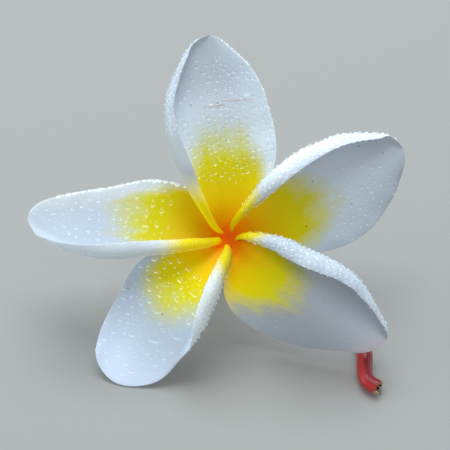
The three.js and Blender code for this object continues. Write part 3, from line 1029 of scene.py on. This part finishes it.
# %% The stalk's route
STALK_TOP = -19.15
STALK_LEAD = 2.5
STALK_RADIUS = 1.7
STALK_STEPS = 190
STALK_ROUTE = [
    (0.7, 15, 4.5), (2.9, 16.7, 2.4), (6.5, 16.6), (10.7, 13.9), (15.5, 9), (21, 2.5),
    (25.8, -4.5), (28.8, -10.5), (29.6, -15.5), (29.4, -19.3), (29.9, -22.3), (32.4, -24.4),
]


def centripetal(knots, count):
    """A curve through points that neither loops nor overshoots, at even steps along it."""
    knots = np.array(knots, float)
    knots = np.concatenate([2 * knots[:1] - knots[1:2], knots, 2 * knots[-1:] - knots[-2:-1]])
    fine = []
    for a, b, c, d in zip(knots, knots[1:], knots[2:], knots[3:]):
        spans = [np.linalg.norm(q - p) ** 0.5 for p, q in ((a, b), (b, c), (c, d))]
        times = np.cumsum([0, *spans])
        t = np.linspace(times[1], times[2], 40, endpoint=False)[:, None]

        def between(p, q, i, j):
            return ((times[j] - t) * p + (t - times[i]) * q) / (times[j] - times[i])

        low = between(between(a, b, 0, 1), between(b, c, 1, 2), 0, 2)
        high = between(between(b, c, 1, 2), between(c, d, 2, 3), 1, 3)
        fine.append(between(low, high, 1, 2))
    fine = np.concatenate([*fine, knots[-2:-1]])
    walked = np.concatenate([[0], np.cumsum(np.linalg.norm(np.diff(fine, axis=0), axis=1))])
    steps = np.linspace(0, walked[-1], count)
    return np.stack([np.interp(steps, walked, fine[:, k]) for k in range(3)], axis=-1), walked[-1]


start = np.array([0, 0, STALK_TOP])
below_throat = np.array([THROAT[0], THROAT[1], 0])
knots = [
    in_frame(start), in_frame(start - [0, 0, STALK_LEAD]),
    *(below_throat + MM * np.array((*p, STALK_RADIUS)[:3]) for p in STALK_ROUTE),
]
stalk_line, stalk_length = centripetal(np.array(knots) / MM, STALK_STEPS)
print("the stalk is", round(stalk_length, 1), "mm long")

# %% The stalk's skin
STALK_SIDES = 40
STALK_TOP_RADIUS = 1.5
WIDENS_OVER = 0.2
RIDGES = 7
RIDGE_DEPTH = 0.018


def carried_frames(line):
    """Two directions across a curve at each point, carried along it without twist."""
    ahead = unit(np.gradient(line, axis=0))
    side = unit(np.cross(ahead[0], [1.0, 0.2, 0.0]))
    sides = []
    for direction in ahead:
        side = unit(side - direction * (side @ direction))
        sides.append(side)
    sides = np.array(sides)
    return sides, np.cross(ahead, sides), ahead


sides, ups, ahead = carried_frames(stalk_line)
stalk_angle = np.linspace(0, 2 * math.pi, STALK_SIDES, endpoint=False)
cosine, sine = np.cos(stalk_angle)[:, None], np.sin(stalk_angle)[:, None]
around = cosine * sides[:, None] + sine * ups[:, None]
stalk_share = np.linspace(0, 1, STALK_STEPS)[:, None]
widening = smooth_step(stalk_share / WIDENS_OVER)
stalk_radius = STALK_TOP_RADIUS + (STALK_RADIUS - STALK_TOP_RADIUS) * widening
ridge = np.cos(RIDGES * stalk_angle + 0.6) * 0.5 + np.cos(3 * stalk_angle + 2.0) * 0.5 - 1
ring_radius = stalk_radius * (1 + RIDGE_DEPTH * ridge * smooth_step(stalk_share * 8))
outer = stalk_line[:, None] + around * ring_radius[..., None]
print("the stalk widens from", STALK_TOP_RADIUS, "to", STALK_RADIUS, "mm in radius")

# %% [markdown]
# A stalk that is pulled off doesn't break straight across. Its rim is ragged, so a sum of cosines
# pushes the last rings back, each more than the one before it. Five smaller rings then lead down
# into the hollow: the first two follow the torn edge, and the deeper ones are more even.

# %% The torn end
TORN_FROM = 0.94
EVEN_FROM = 0.3
EVENED = 0.3
# Each ring's share of the rim's radius, and its depth in millimetres.
HOLLOW_RINGS = ((0.9, -0.10), (0.76, 0.05), (0.68, 0.4), (0.6, 0.9), (0.5, 1.5))

random = np.random.default_rng(17)
torn = np.zeros(STALK_SIDES)
for lobes in (2, 3, 5, 8, 13):
    torn += np.cos(lobes * stalk_angle + random.uniform(0, 6.28)) * random.uniform(0.05, 0.16)
torn -= torn.max()
end_share = smooth_step((stalk_share - TORN_FROM) / (1 - TORN_FROM))
outer = outer + ahead[:, None] * (end_share * torn)[..., None]
tip, tip_ahead = stalk_line[-1], ahead[-1]
pushed_back = tip_ahead * torn[:, None]
hollow = []
for share, depth in HOLLOW_RINGS:
    inward = tip + (outer[-1] - tip - pushed_back) * share
    follows = 1 if depth < EVEN_FROM else EVENED
    hollow.append(inward + pushed_back * follows - tip_ahead * depth)
stalk_points = np.concatenate([outer, np.array(hollow)])
print("the stalk's rim is torn", round(-torn.min(), 2), "mm deep")

# %% [markdown]
# The stalk's skin is wet and red, with paler pink stripes between the ridges, and it turns green
# towards the flower. Its colours follow how far each point faces right, which the mesh carries:
# where the skin faces left it is painted a brighter red as a painted highlight, and the pale pink
# stripes on its right side are partly its own stripes and partly a painted wet sheen.

# %% The stalk's finish
stalk_rows = len(stalk_points)
row_number = np.arange(stalk_rows)[:, None] * np.ones(STALK_SIDES)
stalk_numbers = {
    "along": np.minimum(row_number / (STALK_STEPS - 1), 1.0),
    "round": np.ones((stalk_rows, 1)) * (stalk_angle / (2 * math.pi)),
    "torn": np.clip((row_number - STALK_STEPS + 2) / 2, 0, 1),
    "hollow": np.clip((row_number - STALK_STEPS - 0.3) / 1.2, 0, 1),
    "facing_right": np.concatenate([around @ RIGHT, np.ones((len(HOLLOW_RINGS), STALK_SIDES))]),
}
stalk_finish = Finish(
    "stalk_skin", Coat_Weight=0.3, Coat_Roughness=0.1, Coat_IOR=1.33, Specular_IOR_Level=0.25,
    Subsurface_Weight=0.1, Subsurface_Radius=(1.0, 0.4, 0.3), Subsurface_Scale=0.001,
)
along, turn = stalk_finish.measured("along"), stalk_finish.measured("round") * (2 * math.pi)
ringed = stalk_finish.place(turn.math("SINE") * 3.2, turn.math("COSINE") * 3.2, along * 2.5)
stripe = stalk_finish.noise(ringed, 1.0, 4.0, 0.65)
grain = stalk_finish.noise(stalk_finish.here(), 1500.0, 3.0)
facing_right = stalk_finish.measured("facing_right") * 0.5 + 0.5
# Painted light: a brighter red where the skin faces left, and a wet sheen in the pale stripes.
skin = stalk_finish.ramp(facing_right + (stripe - 0.5) * 0.22 + (grain - 0.5) * 0.05, [
    (0.0, (0.42, 0.025, 0.022)), (0.30, (0.53, 0.038, 0.040)), (0.48, (0.25, 0.006, 0.011)),
    (0.60, (0.31, 0.013, 0.022)), (0.66, (0.22, 0.008, 0.022)), (0.70, (0.46, 0.11, 0.15)),
    (0.74, (0.26, 0.012, 0.040)), (0.80, (0.30, 0.020, 0.055)), (0.85, (0.48, 0.14, 0.17)),
    (0.90, (0.24, 0.016, 0.026)), (1.0, (0.30, 0.085, 0.022)),
])
green = (along + (stripe - 0.5) * 0.1).rise(0.28, 0.02)
skin = stalk_finish.mix(green * 0.75, skin, (0.24, 0.25, 0.07))
flesh = stalk_finish.mix(grain.rise(0.42, 0.6), (0.62, 0.58, 0.40), (0.16, 0.10, 0.02))
skin = stalk_finish.mix(stalk_finish.measured("torn"), skin, flesh)
# Painted shade: the hollow is nearly black, darker than its dark brown flesh would be.
skin = stalk_finish.mix(stalk_finish.measured("hollow"), skin, (0.018, 0.007, 0.004))
stalk_finish.feed(
    Base_Color=skin,
    Roughness=grain * 0.15 + 0.27,
    Normal=stalk_finish.bump(stripe * 0.8 + grain * 0.2, 0.00022, 0.5),
)
stalk = piece(
    "fine_flower_stalk", stalk_points.reshape(-1, 3) * MM, closed_faces(stalk_rows, STALK_SIDES),
    stalk_finish, stalk_numbers,
)
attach(stalk, "root")
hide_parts("flower_stalk")
print(stalk.name, "has", len(stalk.data.polygons), "faces")

# %% [markdown]
# Where the stalk tore, a few pale fibres stand out of its rim. Each is a thin tapering strand with
# six sides, a little wider than thick, that bends inwards or outwards by chance.

# %% Torn fibres
FIBRES = 9
FIBRE_RINGS = 7
FIBRE_SIDES = 6
FIBRE_TAPER = 0.85
FIBRE_ROOT = 0.55
pith_finish = Finish("pith_fibres", Roughness=0.5, Specular_IOR_Level=0.4)
speckle = pith_finish.noise(pith_finish.here(), 2500.0, 3.0)
pith = pith_finish.mix(speckle.rise(0.35, 0.7), (0.66, 0.60, 0.42), (0.42, 0.28, 0.14))
pith_finish.feed(Base_Color=pith)
fibre_angle = np.linspace(0, 2 * math.pi, FIBRE_SIDES, endpoint=False)[:, None]
random = np.random.default_rng(23)
fibre_points, fibre_faces = [], []
for fibre in range(FIBRES):
    turn = random.uniform(0, 2 * math.pi)
    outward = math.cos(turn) * sides[-1] + math.sin(turn) * ups[-1]
    skew = math.cos(turn) * ups[-1] - math.sin(turn) * sides[-1]
    root = tip + outward * STALK_RADIUS * random.uniform(0.62, 0.84) - tip_ahead * FIBRE_ROOT
    length = random.uniform(0.5, 1.5)
    spread = random.uniform(-0.5, 0.35)
    thick = random.uniform(0.09, 0.2)
    bend = outward * spread + skew * random.uniform(-0.3, 0.3)
    section = np.cos(fibre_angle) * skew * 1.6 + np.sin(fibre_angle) * outward
    for share in np.linspace(0, 1, FIBRE_RINGS):
        middle = root + tip_ahead * length * share + bend * length * share**2
        fibre_points.append(middle + section * thick * (1 - FIBRE_TAPER * share))
    base = fibre * FIBRE_RINGS * FIBRE_SIDES
    strand = closed_faces(FIBRE_RINGS, FIBRE_SIDES)
    fibre_faces += [tuple(i + base for i in face) for face in strand]
fibres = piece("torn_fibres", np.concatenate(fibre_points) * MM, fibre_faces, pith_finish)
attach(fibres, "root")
print(fibres.name, "has", FIBRES, "strands")

# %% [markdown]
# ## Rain drops
#
# Each drop is a small dome of real geometry with a clear water finish, because bump alone would
# neither stand out at a petal's outline nor bend the light. A drop has to follow the skin it sits
# on, round a rolled lip too. So the petal's front and back are joined into one wrapped sheet, whose
# rows and columns are measured in millimetres. A ring of a drop is then a few distances along and
# across from its middle, looked up on that sheet.

# %% The wrapped sheet of a petal


class Wrapped:
    """A petal's front and back as one sheet, cut open down the middle of the back."""

    def __init__(self, front, back, numbers):
        columns = front.shape[1]
        back_columns = np.arange(columns - 2, 0, -1)
        self.first = len(back_columns) // 2
        points = np.concatenate([front, back[:, back_columns]], axis=1)
        self.points = np.roll(points, self.first, axis=1)
        place = np.concatenate([numbers["across"][0], numbers["across"][0][back_columns]])
        side = np.concatenate([np.ones(columns), np.zeros(columns - 2)])
        self.place = np.roll(place, self.first)
        self.front = np.roll(side, self.first)
        self.share = numbers["along"][:, 0]
        self.aside = numbers["aside"]
        self.rows, self.columns = self.points.shape[:2]
        down, over = np.gradient(self.points, axis=0), np.gradient(self.points, axis=1)
        self.normals = unit(np.cross(down, over) + 1e-12)
        step = np.linalg.norm(np.diff(self.points, axis=1), axis=2)
        self.across = np.concatenate([np.zeros((self.rows, 1)), np.cumsum(step, axis=1)], axis=1)
        step = np.linalg.norm(np.diff(self.points, axis=0), axis=2)
        self.along = np.concatenate([np.zeros((1, self.columns)), np.cumsum(step, axis=0)])

    def at(self, grid, row, column):
        """Reads a grid of numbers or vectors between its points."""
        row, column = np.clip(row, 0, self.rows - 1.001), np.clip(column, 0, self.columns - 1.001)
        i, j = row.astype(int), column.astype(int)
        u, v = row - i, column - j
        if grid.ndim == 3:
            u, v = u[..., None], v[..., None]
        return (
            grid[i, j] * (1 - u) * (1 - v) + grid[i + 1, j] * u * (1 - v)
            + grid[i, j + 1] * (1 - u) * v + grid[i + 1, j + 1] * u * v
        )

    def find(self, share, aside):
        """The row and column of a place on the face."""
        row = np.interp(share, self.share, np.arange(self.rows))
        line = self.aside[int(row)]
        return row, self.first + np.interp(aside, line, np.arange(len(line)))

    def cells(self, grid):
        """A value for each cell from a value for each column or each row."""
        return (grid[1:] + grid[:-1]) / 2


wrapped = {name: Wrapped(*skin) for name, skin in skins.items()}
print("the widest sheet is", round(max(w.across.max() for w in wrapped.values()), 1), "mm round")

# %% [markdown]
# Where drops lie is a matter of chance with rules: fine beads crowd together on the rolled lips,
# larger ones keep their distance on the faces, and the hollow beside a roll stays dry. Each kind of
# drop is thrown at the sheet like darts, and a dart that lands too close to another is taken out
# again. The big ones go first.

# %% Throwing the drops
SIZE_SPREAD = (0.85, 1.15)


def thrown(sheet, random, kind, welcome, apart, taken):
    """Rows, columns and radii of one kind. welcome: from 0 to 1 in each cell of the sheet.

    apart: the least distance to a drop that is there already, in sums of their radii.
    """
    cells = np.diff(sheet.across, axis=1)[:-1] * np.diff(sheet.along, axis=0)[:, :-1]
    chance = (cells * welcome).ravel()
    picks = random.choice(len(chance), int(kind["tries"] * chance.sum()), p=chance / chance.sum())
    rows, columns = np.divmod(picks, sheet.columns - 1)
    row, column = rows + random.random(len(picks)), columns + random.random(len(picks))
    radii = random.choice(kind["sizes"], len(picks)) * random.uniform(*SIZE_SPREAD, len(picks))
    order = np.argsort(-radii)
    row, column, radii = row[order], column[order], radii[order]
    kept = []
    for k, middle in enumerate(sheet.at(sheet.points, row, column)):
        if taken:
            others = np.array(taken)
            room = np.linalg.norm(others[:, :3] - middle, axis=1)
            if (room < apart * (others[:, 3] + radii[k])).any():
                continue
        taken.append((*middle, radii[k]))
        kept.append((row[k], column[k], radii[k]))
    return kept


# %% [markdown]
# A drop's outline is nearly round when it is small and wanders when it is large. It meets the skin
# at a steep angle if it is a bead, and at a shallow one if it has spread into a pool. On a slope
# its crown sags downhill. Its foot is sunk a little way into the skin and closed, so each drop is a
# solid body. Small drops have fewer rings and sides, because there are thousands of them.

# %% Making a drop
SINK = 0.05
SAG = 0.35
DOWNHILL = -np.array([RIGHT[2], UP[2], OUT[2]])
LARGE_FROM = 0.33
# How many sides a drop has, and its rings as shares of its radius.
LARGE_RINGS = (16, (1.0, 0.95, 0.8, 0.55, 0.28))
SMALL_RINGS = (9, (1.0, 0.9, 0.55))
# How often the outline swings round the drop, and how strongly.
OUTLINE_SWINGS = ((2, 1.0), (3, 0.7), (4, 0.4), (5, 0.25))


def dome(sheet, random, row, column, half_sizes, contact, wander, look, heading=math.pi / 2):
    """One drop: its points, faces and shading. half_sizes: wide and high, turned by the heading.

    look: how dark its rim is, how much light gathers low in it, and how bright its whole rim is.
    """
    wide, high = half_sizes
    sides, shares = LARGE_RINGS if max(half_sizes) > LARGE_FROM else SMALL_RINGS
    angle = np.linspace(0, 2 * math.pi, sides, endpoint=False) + random.uniform(0, 1)
    outline = np.ones(sides)
    for lobes, strength in OUTLINE_SWINGS:
        swing = np.cos(lobes * angle + random.uniform(0, 6.28))
        outline += wander * strength * random.uniform(0.3, 1.0) * swing
    shares = np.array(shares)[:, None]
    x, y = wide * outline * np.cos(angle), high * outline * np.sin(angle)
    across = shares * (y * math.cos(heading) - x * math.sin(heading))
    along = shares * (x * math.cos(heading) + y * math.sin(heading))
    across, along = np.append(across, [0, 0]), np.append(along, [0, 0])

    i, j = int(min(row, sheet.rows - 2)), int(min(column, sheet.columns - 2))
    start_across = np.interp(column, np.arange(sheet.columns), sheet.across[i])
    start_along = np.interp(row, np.arange(sheet.rows), sheet.along[:, j])
    columns = np.interp(start_across + across, sheet.across[i], np.arange(sheet.columns))
    rows = np.interp(start_along + along, sheet.along[:, j], np.arange(sheet.rows))
    ground = sheet.at(sheet.points, rows, columns)
    normals = unit(sheet.at(sheet.normals, rows, columns))

    sphere = 1 / math.sin(contact)
    level = np.append(np.repeat(shares.ravel(), sides), [0, 1])
    height = min(half_sizes) * (np.sqrt(sphere**2 - level**2) - math.sqrt(sphere**2 - 1))
    height[:sides] = -SINK
    height[-1] = -SINK
    downhill = DOWNHILL - normals[-1] * (DOWNHILL @ normals[-1])
    sag = np.clip(height, 0, None)[:, None] * downhill * SAG
    points = ground + unit(normals + normals[-1]) * height[:, None] + sag
    outward = unit(ground - ground[-1] + 1e-9)
    lower = outward @ unit(downhill + 1e-9)
    lower[-2:] = 0

    ring = np.arange(sides)
    after = (ring + 1) % sides
    crown, foot, top = len(points) - 2, len(points) - 1, (len(shares) - 1) * sides
    faces = [
        (low + a, low + b, low + sides + b, low + sides + a)
        for low in range(0, top, sides) for a, b in zip(ring, after)
    ]
    faces += [(top + a, top + b, crown) for a, b in zip(ring, after)]
    faces += [(b, a, foot) for a, b in zip(ring, after)]
    same = np.ones(len(level))
    shading = [level, lower * level, *(strength * same for strength in look)]
    return points, faces, np.stack(shading, axis=-1)


print("in the blossom's axes, downhill is", DOWNHILL.round(2))

# %% [markdown]
# Water is clear, so what shows a drop is its rim. The upper side of the rim is dark, and the light
# that comes in there gathers low in the drop. Rays through drops this small show both only weakly,
# so both are painted in as well: the mesh carries where a drop's rim and its lower side are.

# %% The water finish
SHADING = ("rim", "lower", "dark_rim", "low_light", "bright_rim")
water_finish = Finish(
    "rain_water", Roughness=0.03, IOR=1.33, Transmission_Weight=1.0,
    Coat_Weight=0.3, Coat_Roughness=0.03, Coat_IOR=1.5, Emission_Strength=1.0,
)
rim, lower, dark_rim, low_light, bright_rim = (water_finish.measured(name) for name in SHADING)
shade = rim.rise(0.6, 0.95) * (1.0 - lower.rise(0.0, 0.8) * 0.6) * dark_rim
gathered = lower.rise(0.25, 0.7) * rim.rise(1.02, 0.9) * low_light
# ring: a painted highlight all round the rim.
ring = rim.rise(0.3, 0.9) * bright_rim * 0.6
water_finish.feed(
    Base_Color=water_finish.mix(shade, (0.96, 0.985, 1.0), (0.42, 0.48, 0.52)),
    Emission_Color=water_finish.mix(gathered + ring, NO_LIGHT, (0.33, 0.375, 0.42)),
)
print("a drop carries", ", ".join(SHADING))

# %% [markdown]
# The kinds of drop differ from petal to petal. A face's kind says how many darts are thrown for
# each square millimetre, their sizes, how far apart they keep, where along the petal they start and
# stop, how much they leave the rolled side alone, how they are stretched, and how their rims look.
# A lip's kind says the same of its close coat of beads, and a margin's of the row of beads on its
# thin edge. The widest pools have places of their own: along and aside in millimetres, then half
# their width and height as seen from the front.

# %% The kinds of drop
BEAD_CONTACT = math.radians(72)
BEAD_WANDER = 0.06
# A look: how dark the painted rim is, the painted light low in a drop, and its painted bright rim.
BEAD_LOOK = (0.5, 0.75, 0.0)
MARGIN_LOOK = (0.2, 1.2, 1.5)
LIP_SPACING = 0.84
MARGIN_SPACING = 0.9
FACES = {
    "petal_top": dict(
        tries=5.5, sizes=(0.1, 0.12, 0.14, 0.16, 0.18, 0.2, 0.24, 0.3, 0.4, 0.52), apart=1.0,
        start=0.22, stop=0.93, spared=0.5, stretch=(0.65, 1.1), look=(1.3, 1.2, 0.08),
    ),
    "petal_left": dict(
        tries=2.6, sizes=(0.17, 0.22, 0.3, 0.42, 0.6, 0.8), apart=1.25, start=0.24, stop=0.97,
        spared=0.4, stretch=(0.5, 1.0), look=(0.6, 0.75, 0.16),
    ),
    "petal_lower_left": dict(
        tries=2.6, sizes=(0.16, 0.2, 0.26, 0.36, 0.5, 0.7), apart=1.25, start=0.18, stop=0.96,
        spared=0.2, stretch=(0.6, 1.1), look=(0.4, 1.1, 0.2),
    ),
    "petal_lower_right": dict(
        tries=2.4, sizes=(0.17, 0.2, 0.26, 0.36), apart=1.4, start=0.32, stop=0.55, spared=1.0,
        stretch=(0.8, 1.2), look=(0.9, 1.1, 0.15),
    ),
    "petal_right": dict(
        tries=2.0, sizes=(0.15, 0.18, 0.22, 0.28, 0.36), apart=1.5, start=0.45, stop=0.95,
        spared=1.0, stretch=(0.8, 1.2), look=(1.1, 0.9, 0.15),
    ),
}
LIPS = {
    "petal_top": dict(tries=11, sizes=(0.2, 0.26, 0.34, 0.45), start=0.5, stop=0.99),
    "petal_left": dict(tries=7, sizes=(0.15, 0.2, 0.27), start=0.03, stop=0.9),
    "petal_lower_left": dict(tries=12, sizes=(0.2, 0.26, 0.34, 0.45), start=0.03, stop=0.58),
    "petal_lower_right": dict(tries=14, sizes=(0.28, 0.36, 0.45, 0.55), start=0.07, stop=0.99),
    "petal_right": dict(tries=14, sizes=(0.28, 0.36, 0.45, 0.55), start=0.1, stop=0.99),
}
MARGINS = {
    "petal_top": dict(tries=14, sizes=(0.18, 0.22, 0.3), start=0.5, stop=0.999),
    "petal_left": dict(tries=26, sizes=(0.3, 0.4, 0.52), start=0.2, stop=0.88),
}
POOLS = {
    "petal_top": [
        (34.5, -6, 0.5, 0.9), (34, -8, 0.7, 0.7), (31, -8, 0.9, 1.4), (32, -10.5, 0.5, 0.5),
        (27.5, -12, 0.5, 0.7), (24, -11, 0.5, 0.6), (27.5, -7, 0.8, 0.4), (24.5, 3, 0.9, 0.4),
        (23.5, -1.5, 0.9, 0.4), (20, 4, 1.2, 0.8), (21.5, -1, 0.5, 0.6), (17.5, -6.5, 1.1, 0.5),
    ],
    "petal_left": [
        (21, -5.5, 1.1, 0.8), (21, -1.5, 0.7, 0.8), (26, -4.5, 0.8, 0.3), (27, -1.5, 0.6, 0.3),
        (27, 0.5, 0.6, 0.5), (36.5, 1.5, 0.6, 0.4), (39.5, -0.5, 0.5, 0.4), (41.5, -1, 0.6, 0.5),
        (31.5, -2, 1.7, 0.5), (16.5, -1, 1.2, 0.9), (26.5, 2, 0.9, 0.9),
    ],
    "petal_lower_left": [
        (36, -3.5, 0.5, 0.7), (33.5, -2, 0.7, 0.6), (26.5, -4.5, 0.6, 0.5), (23, -6, 0.8, 0.5),
        (21.5, -7.5, 0.6, 0.6), (24.5, -1.5, 1.3, 0.4), (25.5, 2, 1.6, 1.3), (21.5, 5.5, 1.8, 1.2),
        (20, -1, 1.3, 1.1), (11.5, 3, 1.6, 0.9), (14.5, -3, 2.1, 0.6), (31.5, 3.5, 1.1, 0.6),
    ],
    "petal_right": [
        (34, -4.5, 0.4, 0.5), (31.5, -5, 0.6, 0.5), (36.5, -3.5, 0.4, 0.3), (36, -5, 0.3, 0.3),
        (28, -5, 0.4, 0.3), (29.5, -9, 0.3, 0.3), (26.5, -9.5, 0.4, 0.3),
    ],
}
print("there are", sum(map(len, POOLS.values())), "pools")

# %% Where each kind is welcome
# Places across a petal, as its columns count them: -1 at the plain margin, 1 where the lip starts.
MARGIN_STOPS = -0.985
LIP_STARTS = 0.8
FACE_STOPS = 0.9


def along_span(sheet, kind, soft):
    """1 between the rows where a kind starts and stops, and a soft fall at both ends."""
    share = sheet.cells(sheet.share)[:, None]
    return smooth_step((share - kind["start"]) / soft) * smooth_step((kind["stop"] - share) / soft)


def face_welcome(sheet, kind):
    place = sheet.cells(sheet.place)
    on_front = sheet.cells(sheet.front) == 1
    side = 1 - kind["spared"] * smooth_step((place + 0.6) / 1.2)
    return on_front * (place < FACE_STOPS) * side * along_span(sheet, kind, 0.1)


def lip_welcome(sheet, kind):
    place = sheet.cells(sheet.place)
    behind = sheet.cells(sheet.front) < 1
    upward = smooth_step((sheet.normals[:-1, :-1, 2] + 0.2) / 0.5)
    return behind * (place > LIP_STARTS) * upward * along_span(sheet, kind, 0.03)


def margin_welcome(sheet, kind):
    return (sheet.cells(sheet.place) < MARGIN_STOPS) * along_span(sheet, kind, 0.02)


room = [int((lip_welcome(wrapped[name], kind) > 0.5).sum()) for name, kind in LIPS.items()]
print("cells where beads are welcome:", room)

# %% [markdown]
# A shallow drop bends the light less than a bead does, so its rim is painted more faintly. So is
# the light in the beads close to a nose, where the petals shade each other. The pools come first,
# because they need the most room, then the beads, and last the drops on the face.

# %% The drops


def faded(look, rim, light):
    """A look with a part of its dark rim and a part of the light low in it."""
    dark_rim, low_light, bright_rim = look
    return dark_rim * rim, low_light * light, bright_rim


def pool_contact(spread):
    """The wider a pool, the flatter it meets the skin."""
    return math.radians(max(58 - 30 * spread, 24))


def drop_contact(radius):
    """A drop on the face is steep while it is small."""
    return math.radians(60 - 35 * max(radius - 0.2, 0))


def bead(sheet, random, row, column, radius, look):
    """A small round drop that stands steeply on the skin."""
    return dome(sheet, random, row, column, (radius, radius), BEAD_CONTACT, BEAD_WANDER, look)


for seed, petal in enumerate(PETALS):
    name = petal["name"]
    sheet = wrapped[name]
    random = np.random.default_rng(100 + seed)
    taken, made = [], []
    heading = math.radians(petal["direction"])
    for along, aside, wide, high in POOLS.get(name, []):
        row, column = sheet.find(along / petal["reach"], aside)
        middle = sheet.at(sheet.points, np.array(row), np.array(column))
        taken.append((*middle, (wide + high) / 2))
        spread = max(wide, high)
        contact = pool_contact(spread)
        steep = contact / BEAD_CONTACT
        look = faded(FACES[name]["look"], steep, steep)
        wander = 0.08 + 0.06 * spread
        made.append(dome(sheet, random, row, column, (wide, high), contact, wander, look, heading))
    pools = len(made)

    kind = LIPS[name]
    beads = thrown(sheet, random, kind, lip_welcome(sheet, kind), LIP_SPACING, taken)
    for row, column, radius in beads:
        look = faded(BEAD_LOOK, 1.0, min(1.0, 0.2 + 4.0 * row / sheet.rows))
        made.append(bead(sheet, random, row, column, radius, look))
    if name in MARGINS:
        kind = MARGINS[name]
        edge_beads = thrown(sheet, random, kind, margin_welcome(sheet, kind), MARGIN_SPACING, taken)
        made += [bead(sheet, random, *edge_bead, MARGIN_LOOK) for edge_bead in edge_beads]
        beads += edge_beads

    kind = FACES[name]
    drops = thrown(sheet, random, kind, face_welcome(sheet, kind), kind["apart"], taken)
    for row, column, radius in drops:
        size = (radius, radius * random.uniform(*kind["stretch"]))
        contact = drop_contact(radius)
        steep = contact / BEAD_CONTACT
        look = faded(kind["look"], steep, steep * random.uniform(0.6, 1.7))
        wander = 0.06 + 0.15 * radius
        made.append(dome(sheet, random, row, column, size, contact, wander, look))

    drop_points, drop_faces, shading = zip(*made)
    starts = np.cumsum([0] + [len(points) for points in drop_points])
    faces = [
        tuple(int(i + start) for i in face)
        for start, own in zip(starts, drop_faces) for face in own
    ]
    drops_piece = piece(
        "drops_" + name.removeprefix("petal_"), in_frame(np.concatenate(drop_points)), faces,
        water_finish, dict(zip(SHADING, np.concatenate(shading).T)),
    )
    drops_piece.visible_shadow = drops_piece.visible_diffuse = False
    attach(drops_piece, "root")
    print(drops_piece.name, "has", pools, "pools,", len(beads), "beads and", len(drops), "drops")

# %% [markdown]
# ## The floor and the sizes
#
# The blossom lies on a plain grey floor, which belongs to the picture and not to the part. At the
# end the box of everything that is seen is set beside the box of the imported model, and the two
# should differ by less than a millimetre.

# %% The floor
FLOOR_SIDE = 3.0
floor_finish = Finish("floor_paint", Base_Color=(0.42, 0.42, 0.41), Roughness=0.7)
half_side = FLOOR_SIDE / 2
corners = np.array([
    [-half_side, -half_side, 0], [half_side, -half_side, 0],
    [half_side, half_side, 0], [-half_side, half_side, 0],
])
floor = piece("floor", corners, [(0, 1, 2, 3)], floor_finish)
floor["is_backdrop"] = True
print("the floor is", FLOOR_SIDE, "m wide")

# %% Sizes
size = {
    "cad": [list(corner) for corner in cad_box],
    "visual": [list(corner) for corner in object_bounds()],
}
